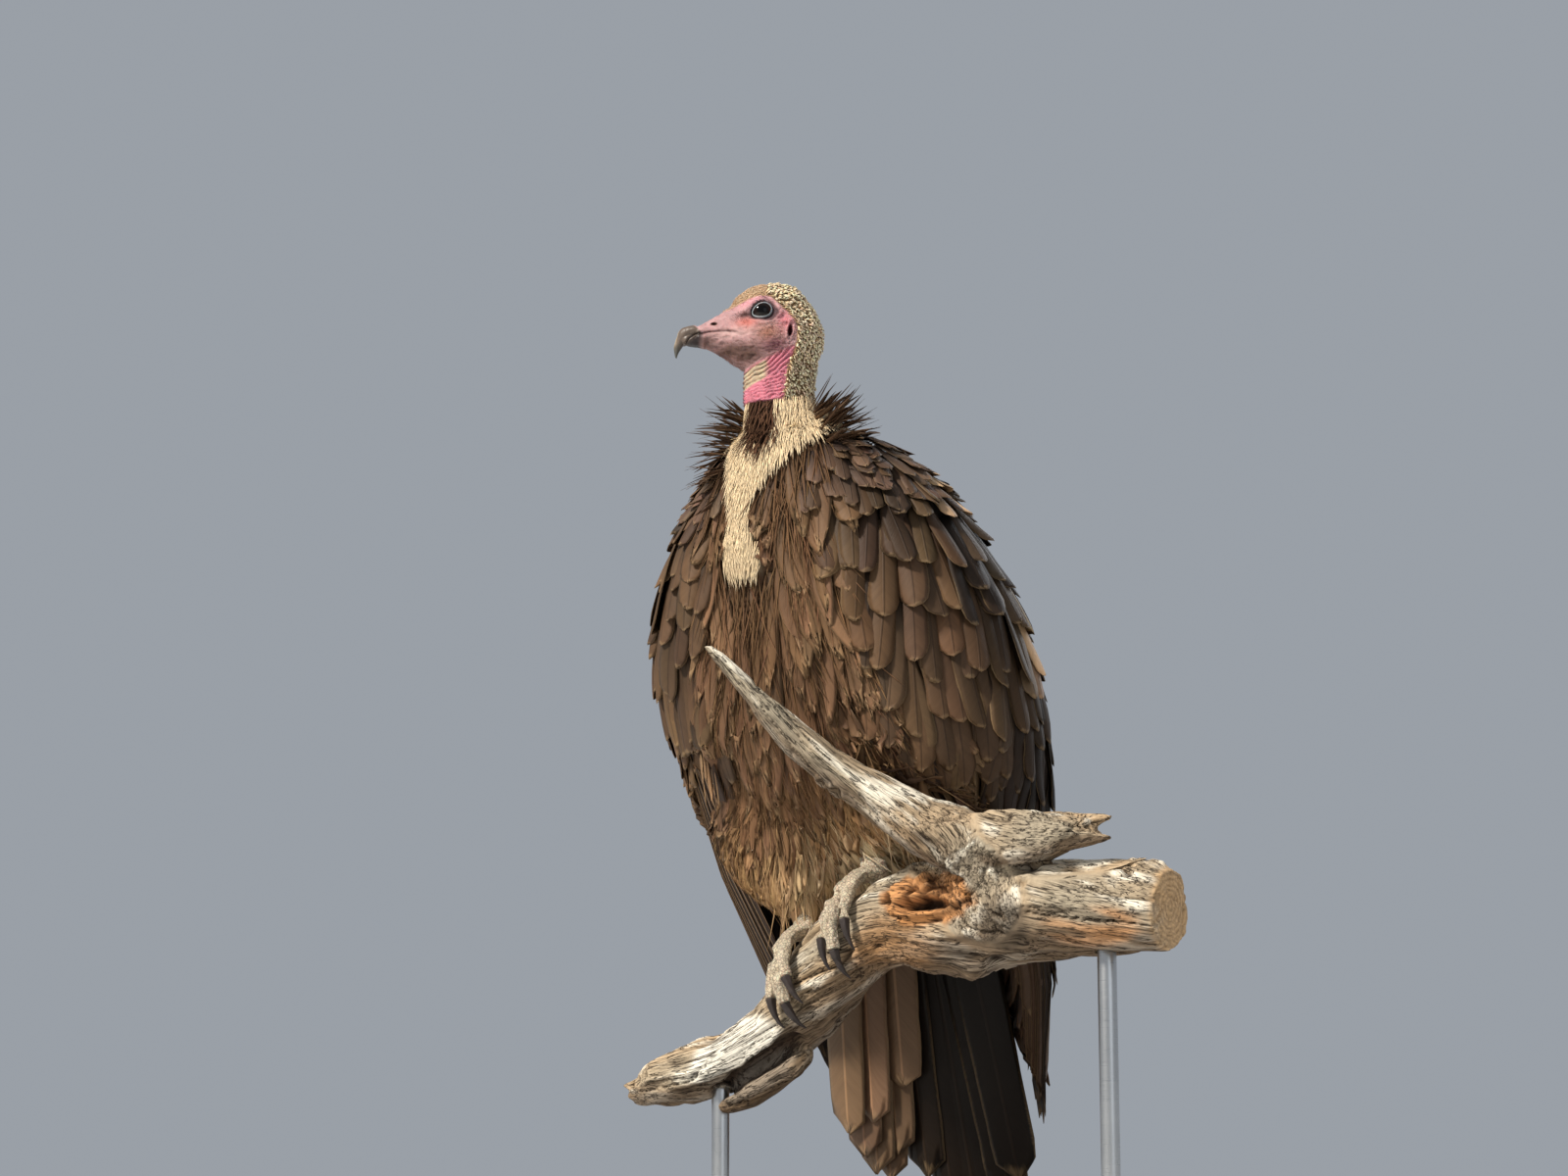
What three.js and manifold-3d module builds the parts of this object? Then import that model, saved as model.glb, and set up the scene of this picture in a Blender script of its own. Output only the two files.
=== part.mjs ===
// A hooded vulture (Necrosyrtes monachus), life size, as a museum mount: it grips a cut
// length of dead branch with its head turned to its right, and two rods hold the branch
// over a flat base.  Millimetres, +Z up; the bird faces -Y and its left side is +X.
// The origin is the middle of the underside of the base.
import * as THREE from "three";
import { mergeVertices } from "three/addons/utils/BufferGeometryUtils.js";
import Module from "manifold-3d";

const wasm = await Module();
wasm.setup();

// ---- driving dimensions -------------------------------------------------------------
const GAP = 0.35; // clearance between pieces that touch
const BIRD_X = -55; // the bird's middle plane, left of the middle of the base

const BASE = { long: 440, deep: 290, thick: 18, corner: 26, bevel: 2.5 };
const ROD = { radius: 6.5, collarRadius: 17, collarHeight: 7, intoBranch: 4 };
const ROD_AT = { left: [236, -46], right: [-92, -19] }; // from the bird's middle plane

const EYE_Z = 694; // height of the eye over the floor
const HEAD_AT = [-11.5, -87.4]; // the eyes' place on the head's own middle plane
const HEAD_TURN = THREE.MathUtils.degToRad(58); // towards the bird's right
const EYE = { radius: 9.2, side: 15.4, ahead: 1.8 };
const HORN_FROM = 49; // where the horny bill begins, ahead of the eye
const NECK_CUT = -47; // the head ends here, below the eye
const TOMIUM = -14; // the line between the mandibles, below the eye

const TAIL = { length: 262, feathers: 12, thick: 7 };
const WING = { frontAngle: 21, backAngle: 172 };

const V = (x, y, z) => new THREE.Vector3(x, y, z);

// ---- tools --------------------------------------------------------------------------
// Values between the rows of a table, whose first column is what they go by.
function between(rows, t) {
  const last = rows.length - 1;
  const up = rows[last][0] > rows[0][0];
  let i = 0;
  while (i < last - 1 && (up ? t > rows[i + 1][0] : t < rows[i + 1][0])) i += 1;
  const [a, b] = [rows[i], rows[i + 1]];
  const [before, after] = [rows[Math.max(i - 1, 0)], rows[Math.min(i + 2, last)]];
  const span = b[0] - a[0];
  const s = THREE.MathUtils.clamp((t - a[0]) / span, 0, 1);
  return a.slice(1).map((from, k) => {
    const to = b[k + 1];
    const leave = ((to - before[k + 1]) / (b[0] - before[0])) * span;
    const arrive = ((after[k + 1] - from) / (after[0] - a[0])) * span;
    const [s2, s3] = [s * s, s * s * s];
    return (
      (2 * s3 - 3 * s2 + 1) * from + (s3 - 2 * s2 + s) * leave +
      (3 * s2 - 2 * s3) * to + (s3 - s2) * arrive
    );
  });
}

// Moves each vertex of a geometry to where place(vertex) says.
function shaped(geometry, place) {
  const at = geometry.attributes.position;
  const v = new THREE.Vector3();
  for (let i = 0; i < at.count; i += 1) {
    const to = place(v.fromBufferAttribute(at, i));
    at.setXYZ(i, to.x, to.y, to.z);
  }
  return geometry;
}

function solidOf(geometry) {
  const bare = geometry.index ? geometry.toNonIndexed() : geometry.clone();
  bare.deleteAttribute("normal");
  bare.deleteAttribute("uv");
  const merged = mergeVertices(bare, 1e-3);
  const made = new wasm.Manifold(
    new wasm.Mesh({
      numProp: 3,
      vertProperties: merged.attributes.position.array,
      triVerts: new Uint32Array(merged.index.array),
    }),
  );
  if (made.volume() > 0) return made;
  const turned = new Uint32Array(merged.index.array);
  for (let i = 0; i < turned.length; i += 3)
    [turned[i], turned[i + 1]] = [turned[i + 1], turned[i]];
  return new wasm.Manifold(
    new wasm.Mesh({
      numProp: 3,
      vertProperties: merged.attributes.position.array,
      triVerts: turned,
    }),
  );
}

function geometryOf(solid) {
  const mesh = solid.getMesh();
  const geometry = new THREE.BufferGeometry();
  geometry.setAttribute("position", new THREE.BufferAttribute(mesh.vertProperties, 3));
  geometry.setIndex(new THREE.BufferAttribute(mesh.triVerts, 1));
  geometry.computeVertexNormals();
  return geometry;
}

// The largest body of a solid, without the crumbs that a cut may leave.
function largest(solid) {
  return solid.decompose().reduce((a, b) => (b.volume() > a.volume() ? b : a));
}

function cut(solid, ...others) {
  return largest(others.reduce((left, other) => left.subtract(other), solid));
}

// A closed tube of oval sections: section(s) gives {at, across, deep, wide, high}, where
// across and deep are unit vectors and wide and high the half sizes along them.
function sleeve(section, sides, steps, lump = () => 1) {
  const tube = new THREE.CylinderGeometry(1, 1, 1, sides, steps);
  return shaped(tube, (v) => {
    const s = 0.5 - v.y;
    const { at, across, deep, wide, high } = section(s);
    const swell = lump(s, Math.atan2(v.z, v.x));
    return at.clone()
      .addScaledVector(across, v.x * wide * swell)
      .addScaledVector(deep, v.z * high * swell);
  });
}

// A round tube along a curve with the radius radius(s); the frame turns with the curve.
function limb(curve, radius, sides, steps, lump) {
  return sleeve((s) => {
    const t = THREE.MathUtils.clamp(s, 0.001, 0.999);
    const along = curve.getTangentAt(t);
    const side = Math.abs(along.z) > 0.9 ? V(1, 0, 0) : V(0, 0, 1);
    const across = V(0, 0, 0).crossVectors(along, side).normalize();
    const deep = V(0, 0, 0).crossVectors(across, along).normalize();
    const r = radius(s);
    return { at: curve.getPointAt(s), across, deep, wide: r, high: r };
  }, sides, steps, lump);
}

const curveOf = (...points) =>
  new THREE.CatmullRomCurve3(points.map((p) => V(...p)), false, "centripetal");

// ---- trunk --------------------------------------------------------------------------
// By height: the middle's y, half the width and half the depth.
const TRUNK = [
  [628, -66, 22, 24],
  [602, -62, 52, 50],
  [560, -42, 88, 80],
  [500, -20, 116, 101],
  [430, -4, 121, 106],
  [366, 10, 112, 96],
  [310, 34, 86, 72],
  [268, 62, 58, 42],
  [244, 84, 34, 24],
];

function trunk(grow = 0) {
  const [top, bottom] = [TRUNK[0][0], TRUNK[TRUNK.length - 1][0]];
  return solidOf(sleeve((s) => {
    const z = top + s * (bottom - top);
    const [y, wide, deep] = between(TRUNK, z);
    return {
      at: V(0, y, z + grow * (1 - 2 * s)), across: V(1, 0, 0), deep: V(0, 1, 0),
      wide: wide + grow, high: deep + grow,
    };
  }, 20, 11));
}

// ---- wings --------------------------------------------------------------------------
// The outer face of both folded wings is part of one oval sleeve round the body.
// By height: the middle's x and y, half the width and half the depth.
const FOLDED = [
  [618, 0, -44, 44, 42],
  [596, 0, -38, 72, 62],
  [560, 0, -28, 108, 86],
  [500, 0, -13, 139, 107],
  [430, 4, 2, 151, 113],
  [366, 14, 15, 141, 107],
  [300, 4, 50, 131, 84],
  [220, 0, 100, 118, 50],
  [150, 0, 131, 96, 26],
  [100, 0, 146, 90, 18],
];
// Where the feathers end, by the angle round the body from the breast to the back.
const HEM = [
  [21, 372], [60, 346], [80, 318], [93, 284], [104, 214], [113, 138],
  [124, 172], [145, 212], [172, 236],
];
const WING_TOP = [[21, 578], [60, 602], [110, 612], [172, 602]];
const WING_THICK = [[0, 5], [0.12, 30], [0.45, 34], [0.7, 18], [1, 3.2]];

// A point on the folded wings' outer face, moved inwards by depth.
function wingPoint(angle, z, depth = 0) {
  const [, y, wide, deep] = between(FOLDED, z);
  const a = THREE.MathUtils.degToRad(angle);
  return V(Math.sin(a) * (wide - depth), y - Math.cos(a) * (deep - depth), z);
}

function wing(side, drop) {
  const sheet = new THREE.BoxGeometry(1, 1, 1, 9, 10, 1);
  const made = solidOf(shaped(sheet, (v) => {
    const [across, down] = [v.x + 0.5, 0.5 - v.y];
    const ramp = THREE.MathUtils.smoothstep(across, 0, 1) * 0.4 + across * 0.6;
    const angle = WING.frontAngle + ramp * (WING.backAngle - WING.frontAngle);
    const [top] = between(WING_TOP, angle);
    const [hem] = between(HEM, angle);
    const low = hem - drop * THREE.MathUtils.smoothstep(down, 0.5, 1);
    const z = top + down * (low - top);
    const rim = Math.min(1, 0.16 + 5 * across, 0.16 + 5 * (1 - across));
    const [thick] = between(WING_THICK, down);
    const point = wingPoint(angle, z, v.z > 0 ? 0 : Math.max(thick * rim, 2.4));
    point.x = point.x * side + between(FOLDED, z)[0];
    return point;
  }));
  return cut(made, trunk(GAP));
}

// ---- tail ---------------------------------------------------------------------------
// A fan of vanes that hangs behind the perch, hollow in front, parted in the middle.
function tail() {
  const { length, feathers, thick } = TAIL;
  const root = V(3, 92, 318);
  const fan = new THREE.BoxGeometry(1, 1, 1, feathers * 2, 4, 1);
  return solidOf(shaped(fan, (v) => {
    const [side, down] = [v.x * 2, 0.5 - v.y];
    const vane = (v.x + 0.5) * feathers;
    const within = vane - Math.floor(Math.min(vane, feathers - 0.01)) - 0.5;
    const tip = 1 - 0.27 * side * side - 0.14 * within * within * down;
    const part = 0.05 * Math.exp(-90 * side * side) * down;
    const reach = length * down * (tip - part);
    const half = 34 + 47 * Math.pow(down, 0.8);
    const bow = 20 * side * side;
    const layer = (v.z > 0 ? 0.5 : -0.5) * thick * (1.35 - 0.8 * down);
    return V(
      root.x + side * half,
      root.y + reach * 0.265 - bow + layer,
      root.z - reach * 0.963,
    );
  }));
}

// ---- head and neck ------------------------------------------------------------------
// They are modelled with the middle between the eyes at the origin, the bill along +Y and
// the left eye on -X, and headPlace turns them into place.
const SKULL = [
  // ahead of the eye: top, bottom, half width
  [-45, -8, -24, 5],
  [-39, 7, -38, 17],
  [-28, 18, -46, 23],
  [-14, 24, -50, 25.5],
  [0, 24.5, -48, 25],
  [10, 20, -43, 22],
  [20, 12.5, -37, 17.5],
  [30, 5, -30, 12.8],
  [40, -1.5, -24, 10],
  [HORN_FROM, -6, -21.5, 8.6],
];
const NECK = [
  // below the eye: middle ahead of the eye, half depth, half width
  [-18, -16, 27, 20],
  [-40, -12.5, 28, 21.5],
  [-62, -11.5, 27, 22],
  [-80, -14, 30, 26],
  [-96, -18, 34, 31],
];

function skull(grow = 0) {
  const [back, front] = [SKULL[0][0], HORN_FROM];
  return solidOf(sleeve((s) => {
    const y = back + s * (front - back);
    const [top, bottom, wide] = between(SKULL, y);
    return {
      at: V(0, y, (top + bottom) / 2), across: V(1, 0, 0), deep: V(0, 0, 1),
      wide: wide + grow, high: (top - bottom) / 2 + grow,
    };
  }, 16, 12));
}

function neckTube(grow = 0) {
  const [top, bottom] = [NECK[0][0], NECK[NECK.length - 1][0]];
  return solidOf(sleeve((s) => {
    const z = top + s * (bottom - top);
    const [y, deep, wide] = between(NECK, z);
    return {
      at: V(0, y, z), across: V(1, 0, 0), deep: V(0, 1, 0),
      wide: wide + grow, high: deep + grow,
    };
  }, 16, 5));
}

function block(x, y, z, wide, deep, high) {
  return solidOf(new THREE.BoxGeometry(wide, deep, high).translate(x, y, z));
}

function eyeball(side, grow = 0) {
  const ball = new THREE.SphereGeometry(EYE.radius + grow, 12, 8);
  return solidOf(ball.translate(side * EYE.side, EYE.ahead, 0));
}

// The nostril slot, through the ridge of the bill.
function nostril() {
  const slot = new THREE.CylinderGeometry(1, 1, 60, 8).rotateZ(Math.PI / 2);
  return solidOf(slot.scale(1, 2.6, 1.1).translate(0, 37, -6.5));
}

function hornBill(side, grow = 0) {
  // side 1 is the upper mandible with its hook, -1 the lower one
  const upper = side > 0;
  const length = upper ? 17 : 9.5;
  const from = HORN_FROM + GAP;
  return solidOf(sleeve((s) => {
    const bend = upper ? 1.32 * s * s : 0.1 * s;
    const y = from + length * Math.sin(Math.min(s * 1.35, Math.PI / 2)) * (upper ? 0.92 : 1);
    const [top, bottom, wide] = between(SKULL, HORN_FROM);
    const high = upper
      ? ((top - TOMIUM - GAP / 2) / 2) * (1 + 0.8 * s - 1.35 * s * s)
      : ((TOMIUM - GAP / 2 - bottom) / 2) * (1 - 0.55 * s);
    const middle = upper
      ? (top + TOMIUM + GAP / 2) / 2 - 17.5 * Math.pow(s, 2.2)
      : (TOMIUM - GAP / 2 + bottom) / 2 + 1.2 * s;
    const deep = V(0, Math.sin(bend), Math.cos(bend));
    return {
      at: V(0, y, middle), across: V(1, 0, 0), deep,
      wide: wide * (upper ? 1 - 0.86 * Math.pow(s, 1.5) : 0.9 - 0.45 * s) + grow,
      high: high + grow,
    };
  }, 12, 7));
}

// Turns a solid from the head's own frame into the bird's.
function headPlace(solid) {
  const turn = -HEAD_TURN;
  // the head's forward +Y goes to the bird's -Y, turned to its right
  const geometry = geometryOf(solid).rotateZ(Math.PI + turn);
  return solidOf(geometry.translate(HEAD_AT[0], HEAD_AT[1], EYE_Z));
}

// ---- ruff ---------------------------------------------------------------------------
// The collar of pointed feathers round the foot of the neck.
function ruff() {
  const spikes = 12;
  const ring = new THREE.TorusGeometry(1, 1, 4, spikes * 2);
  const middle = V(-2, -76, 603);
  return solidOf(shaped(ring, (v) => {
    const around = Math.atan2(v.y, v.x);
    const outside = Math.hypot(v.x, v.y) - 1; // -1 inside to 1 outside
    const flare = Math.max(outside, 0);
    const spike = Math.round((around / Math.PI) * spikes) % 2 === 0 ? 1 : 0.4;
    const back = 0.5 + 0.5 * Math.sin(around);
    const reach = 36 + 8 * outside + flare * 14 * spike;
    const rise = v.z * 13 + flare * (8 + 12 * spike) * (0.6 + 0.5 * back);
    return V(
      middle.x + Math.cos(around) * reach,
      middle.y + Math.sin(around) * reach,
      middle.z + rise + 12 * back,
    );
  }));
}

// ---- perch --------------------------------------------------------------------------
// The dead branch, from its broken end under the bird's right side to the sawn one.
const BRANCH = curveOf(
  [-174, -14, 141], [-136, -16, 150], [-87, -19, 160], [-35, -22, 184], [4, -26, 220],
  [54, -30, 253], [98, -34, 256], [142, -38, 257], [190, -42, 257], [234, -46, 253],
  [286, -50, 250],
);
const BRANCH_R = [
  [0, 8], [0.04, 16], [0.1, 21], [0.2, 22], [0.31, 25], [0.42, 31], [0.53, 31],
  [0.62, 39], [0.72, 36], [0.81, 36], [0.91, 31], [1, 26],
];
const SPIKE = curveOf(
  [160, -44, 270], [138, -62, 300], [108, -80, 317], [72, -98, 344], [46, -116, 367],
  [26, -132, 390], [10, -145, 411], [-6, -155, 431],
);
const SPIKE_R = [[0, 30], [0.15, 26], [0.3, 20], [0.48, 15], [0.65, 12.5], [0.82, 9.5], [1, 2]];
const STUB = curveOf([150, -48, 290], [180, -54, 302], [208, -60, 306], [232, -64, 305]);
const STUB_R = [[0, 22], [0.4, 20], [0.8, 15], [1, 8]];

const knots = (s, a) =>
  1 + 0.05 * Math.sin(3 * a + 9 * s) + 0.05 * Math.sin(2 * a - 21 * s) +
  0.04 * Math.sin(5 * a + 34 * s);

const LIMBS = {
  branch: { curve: BRANCH, radii: BRANCH_R, sides: 12, steps: 18 },
  spike: { curve: SPIKE, radii: SPIKE_R, sides: 10, steps: 10 },
  stub: { curve: STUB, radii: STUB_R, sides: 10, steps: 4 },
};

function wood(which, grow = 0) {
  const { curve, radii, sides, steps } = LIMBS[which];
  const width = (s) => between(radii, s)[0] + grow;
  return solidOf(limb(curve, width, sides, steps, knots));
}

// ---- stand --------------------------------------------------------------------------
function standBase() {
  const { long, deep, thick, corner, bevel } = BASE;
  const [x, y] = [long / 2 - bevel, deep / 2 - bevel];
  const outline = new THREE.Shape();
  outline.moveTo(-x + corner, -y);
  outline.lineTo(x - corner, -y);
  outline.absarc(x - corner, -y + corner, corner, -Math.PI / 2, 0);
  outline.absarc(x - corner, y - corner, corner, 0, Math.PI / 2);
  outline.absarc(-x + corner, y - corner, corner, Math.PI / 2, Math.PI);
  outline.absarc(-x + corner, -y + corner, corner, Math.PI, 1.5 * Math.PI);
  const plate = new THREE.ExtrudeGeometry(outline, {
    depth: thick - 2 * bevel, bevelThickness: bevel, bevelSize: bevel, bevelSegments: 1,
    curveSegments: 5,
  });
  return solidOf(plate.translate(-BIRD_X, 0, bevel));
}

// The height of the branch's middle over a rod's place.
function branchOver(x) {
  let near = BRANCH.getPointAt(0);
  for (let s = 0; s <= 1; s += 0.01) {
    const p = BRANCH.getPointAt(s);
    if (Math.abs(p.x - x) < Math.abs(near.x - x)) near = p;
  }
  return near;
}

function rod(which, grow = 0) {
  const [x, y] = ROD_AT[which];
  const foot = BASE.thick + GAP;
  const top = branchOver(x).z + ROD.intoBranch;
  const shaft = new THREE.CylinderGeometry(
    ROD.radius + grow, ROD.radius + grow, top - foot + grow, 20,
  );
  return solidOf(shaft.rotateX(Math.PI / 2).translate(x, y, (top + foot + grow) / 2));
}

function collar(which) {
  const [x, y] = ROD_AT[which];
  const { radius, collarRadius, collarHeight } = ROD;
  const inner = radius + GAP;
  const profile = [
    [inner, 0], [collarRadius, 0], [collarRadius, 2.5], [radius + 4, collarHeight],
    [inner, collarHeight], [inner, 0],
  ].map(([r, h]) => new THREE.Vector2(r, h));
  const ring = new THREE.LatheGeometry(profile, 16).rotateX(Math.PI / 2);
  return solidOf(ring.translate(x, y, BASE.thick + GAP));
}

// ---- legs and feet ------------------------------------------------------------------
const FEET = {
  right: { side: -1, along: 0.415, knee: [-50, -8, 344], ankle: [-16, -22, 268] },
  left: { side: 1, along: 0.533, knee: [52, -6, 356], ankle: [36, -26, 300] },
};
// Each toe: its splay along the branch, turn round it in degrees, and radius.  All the
// toes slant down the slope of the branch.
const SLANT = -0.42;
const TOES = [
  { name: "inner", splay: -0.17, turn: 78, radius: 5.6 },
  { name: "middle", splay: 0, turn: 96, radius: 6.2 },
  { name: "outer", splay: 0.24, turn: 76, radius: 5.3 },
  { name: "hind", splay: 0.3, turn: -62, radius: 5.8 },
];
const CLAW = { length: 25, radius: 4.1 };

// A point over the branch: s along it, angle from its top towards the front, height off it.
function overBranch(s, angle, height) {
  const t = THREE.MathUtils.clamp(s, 0.001, 0.999);
  const along = BRANCH.getTangentAt(t);
  const up = V(0, 0, 1).addScaledVector(along, -along.z).normalize();
  const front = V(0, 0, 0).crossVectors(up, along).normalize();
  if (front.y > 0) front.negate();
  const out = up.multiplyScalar(Math.cos(angle)).addScaledVector(front, Math.sin(angle));
  const r = between(BRANCH_R, t)[0] * 1.06;
  return BRANCH.getPointAt(t).addScaledVector(out, r + height);
}

function toeCurve(foot, toe) {
  const length = BRANCH.getLength();
  const full = THREE.MathUtils.degToRad(toe.turn);
  const points = [];
  for (let i = 0; i <= 6; i += 1) {
    const angle = (full * i) / 6;
    const arc = Math.abs(angle) * 40;
    const s = foot.along + ((SLANT + foot.side * toe.splay) * arc) / length;
    const knuckle = 1.6 * Math.abs(Math.sin((Math.PI * 1.5 * i) / 6));
    points.push(overBranch(s, angle + 0.12 * Math.sign(full), toe.radius * 0.9 + knuckle));
  }
  return new THREE.CatmullRomCurve3(points, false, "centripetal");
}

function toe(foot, kind, grow) {
  const knobs = (s) => 1 + 0.06 * Math.cos(19 * s);
  const radius = (s) => kind.radius * (1.06 - 0.24 * s) * knobs(s) + grow;
  return solidOf(limb(toeCurve(foot, kind), radius, 6, 5));
}

function shin(foot, grow) {
  const ankle = V(...foot.ankle);
  const pad = overBranch(foot.along, 0, 6);
  const top = ankle.clone().addScaledVector(V(0, 0.55, 1).normalize(), 26);
  const path = curveOf(top.toArray(), ankle.toArray(), pad.toArray());
  const ball = new THREE.SphereGeometry(10.5 + grow, 8, 6).translate(pad.x, pad.y, pad.z);
  return solidOf(limb(path, () => 6.8 + grow, 8, 4)).add(solidOf(ball));
}

function footOf(foot, grow = 0) {
  return TOES.map((kind) => toe(foot, kind, grow))
    .reduce((a, b) => a.add(b), shin(foot, grow));
}

function claw(foot, kind) {
  const curve = toeCurve(foot, kind);
  const [end, along] = [curve.getPointAt(1), curve.getTangentAt(1)];
  const axis = BRANCH.getPointAt(foot.along);
  const inward = axis.sub(end).projectOnPlane(along).normalize();
  const reach = CLAW.length * (kind.name === "hind" ? 0.85 : 1);
  const start = end.clone().addScaledVector(along, GAP);
  const middle = start.clone().addScaledVector(along, reach * 0.55).addScaledVector(inward, 1);
  const tip = start.clone().addScaledVector(along, reach * 0.85).addScaledVector(inward, 9);
  const path = new THREE.QuadraticBezierCurve3(start, middle, tip);
  return solidOf(limb(path, (s) => CLAW.radius * (1 - 0.9 * s) + 0.3, 6, 4));
}

function thigh(foot, grow = 0) {
  const [knee, ankle] = [V(...foot.knee), V(...foot.ankle)];
  const rows = [[0, 40], [0.3, 52], [0.65, 42], [1, 18]];
  const low = ankle.clone().addScaledVector(V(0, -0.2, -1).normalize(), -2);
  const path = curveOf(knee.clone().add(V(0, 0, 22)).toArray(), knee.toArray(), low.toArray());
  return solidOf(limb(path, (s) => between(rows, s)[0] + grow, 12, 6));
}

// ---- materials ----------------------------------------------------------------------
const finish = (color, roughness, metalness = 0) =>
  new THREE.MeshStandardMaterial({ color, roughness, metalness });
const MATERIAL = {
  plumage: finish(0x6b5038, 0.85),
  flight: finish(0x3b2f27, 0.7),
  bareSkin: finish(0xe08a90, 0.6),
  horn: finish(0x5a5148, 0.35),
  eye: finish(0x0c0a0a, 0.05),
  scale: finish(0xa79a86, 0.6),
  wood: finish(0xb9a78d, 0.9),
  plinth: finish(0x2a2422, 0.5),
  steel: finish(0xb8babd, 0.3, 1),
};

// ---- the model ----------------------------------------------------------------------
const bird = new THREE.Group();
bird.position.x = BIRD_X;

function add(name, solid, material) {
  const mesh = new THREE.Mesh(geometryOf(solid), material);
  mesh.name = name;
  bird.add(mesh);
}

const body = trunk();
const bodyGrown = trunk(GAP);
const wings = { left: wing(1, 14), right: wing(-1, -12) };
const limbs = Object.keys(LIMBS).map((which) => wood(which));
const limbsGrown = Object.keys(LIMBS).map((which) => wood(which, GAP));

const whole = skull().add(neckTube());
const cutLow = block(0, 0, NECK_CUT - 150 + GAP / 2, 300, 300, 300);
const cutHigh = block(0, 0, NECK_CUT + 150 - GAP / 2, 300, 300, 300);
const sockets = [eyeball(1, GAP), eyeball(-1, GAP), nostril()];
const head = cut(whole, cutLow, ...sockets);
const neck = headPlace(cut(whole, cutHigh));
const neckGrown = headPlace(neckTube(GAP));

add("trunk", cut(body, neckGrown), MATERIAL.plumage);
add("neck", neck, MATERIAL.bareSkin);
add("head", headPlace(head), MATERIAL.bareSkin);
add("bill_upper", headPlace(hornBill(1)), MATERIAL.horn);
add("bill_lower", headPlace(cut(hornBill(-1), hornBill(1, GAP))), MATERIAL.horn);
add("eye_left", headPlace(eyeball(-1)), MATERIAL.eye);
add("eye_right", headPlace(eyeball(1)), MATERIAL.eye);
add("ruff", cut(ruff(), bodyGrown, neckGrown, wings.left, wings.right), MATERIAL.plumage);
add("wing_left", wings.left, MATERIAL.flight);
add("wing_right", wings.right, MATERIAL.flight);
add("tail", cut(tail(), bodyGrown, wings.left, wings.right), MATERIAL.flight);

for (const [which, foot] of Object.entries(FEET)) {
  const made = cut(footOf(foot), bodyGrown, ...limbsGrown);
  const clear = [...limbsGrown, made, footOf(foot, GAP)];
  add(`foot_${which}`, made, MATERIAL.scale);
  add(
    `thigh_${which}`, cut(thigh(foot), bodyGrown, wings.left, wings.right, ...clear),
    MATERIAL.plumage,
  );
  for (const kind of TOES)
    add(`claw_${which}_${kind.name}`, cut(claw(foot, kind), ...clear), MATERIAL.horn);
}

const [branch, spike, stub] = limbs;
const [branchGrown, spikeGrown] = limbsGrown;
add("perch_branch", cut(branch, rod("left", GAP), rod("right", GAP)), MATERIAL.wood);
add("perch_spike", cut(spike, branchGrown), MATERIAL.wood);
add("perch_stub", cut(stub, branchGrown, spikeGrown), MATERIAL.wood);
add("stand_base", standBase(), MATERIAL.plinth);
for (const which of ["left", "right"]) {
  add(`stand_rod_${which}`, rod(which), MATERIAL.steel);
  add(`stand_collar_${which}`, collar(which), MATERIAL.steel);
}

export default bird;
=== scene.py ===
import math

import bpy
import numpy as np
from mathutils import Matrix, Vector
from mathutils.bvhtree import BVHTree


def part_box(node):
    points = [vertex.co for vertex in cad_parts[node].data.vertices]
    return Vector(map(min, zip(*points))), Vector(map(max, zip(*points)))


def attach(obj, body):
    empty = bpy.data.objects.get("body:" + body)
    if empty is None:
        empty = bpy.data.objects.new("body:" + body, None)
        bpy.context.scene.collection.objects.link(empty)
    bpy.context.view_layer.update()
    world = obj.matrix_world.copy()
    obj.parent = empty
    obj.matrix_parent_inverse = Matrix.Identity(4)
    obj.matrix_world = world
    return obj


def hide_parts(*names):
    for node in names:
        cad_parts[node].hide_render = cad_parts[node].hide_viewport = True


# The looks of a hooded vulture mounted on a cut length of dead branch.  Shapes are worked
# out in millimetres, either in the bird's own frame (its middle plane at x = 0) or in the
# head's frame (between the eyes, the bill along +Y, up along +Z), and made in metres.
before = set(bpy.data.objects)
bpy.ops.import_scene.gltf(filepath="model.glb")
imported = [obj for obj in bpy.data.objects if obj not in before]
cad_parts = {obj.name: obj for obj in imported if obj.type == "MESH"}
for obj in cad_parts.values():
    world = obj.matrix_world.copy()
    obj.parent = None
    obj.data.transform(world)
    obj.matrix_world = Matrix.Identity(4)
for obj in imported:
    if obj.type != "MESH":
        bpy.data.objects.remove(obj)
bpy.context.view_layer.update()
MM = 0.001
DOUBLES = 0.01 * MM  # points this close are one
BIRD = np.array([-55.0, 0.0, 0.0])  # the bird's middle plane in the row frame


# ---- numbers ----
def ramp(low, high, x):
    """0 below low, 1 above high, smooth between; low may be the larger."""
    t = np.clip((x - low) / (high - low), 0, 1)
    return t * t * (3 - 2 * t)


def hump(middle, half, x):
    """A smooth bump of height 1 at middle, about 2 * half wide."""
    return np.exp(-(((x - middle) / half) ** 2))


def column(table, x, which=1):
    """Values of one column of a table at x, whose first column runs either way."""
    rows = np.asarray(table, float)
    if rows[0, 0] > rows[-1, 0]:
        rows = rows[::-1]
    return np.interp(x, rows[:, 0], rows[:, which])


def edges_of(table, x):
    """The two edges that a table gives at x."""
    return column(table, x, 1), column(table, x, 2)


def unit(v):
    return v / np.maximum(np.linalg.norm(v, axis=-1, keepdims=True), 1e-12)


STRIDES = (73856093, 19349663, 83492791)  # large odd numbers that tell cells apart
STIR, STIR_AGAIN = 2654435761, 1274126177


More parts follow.
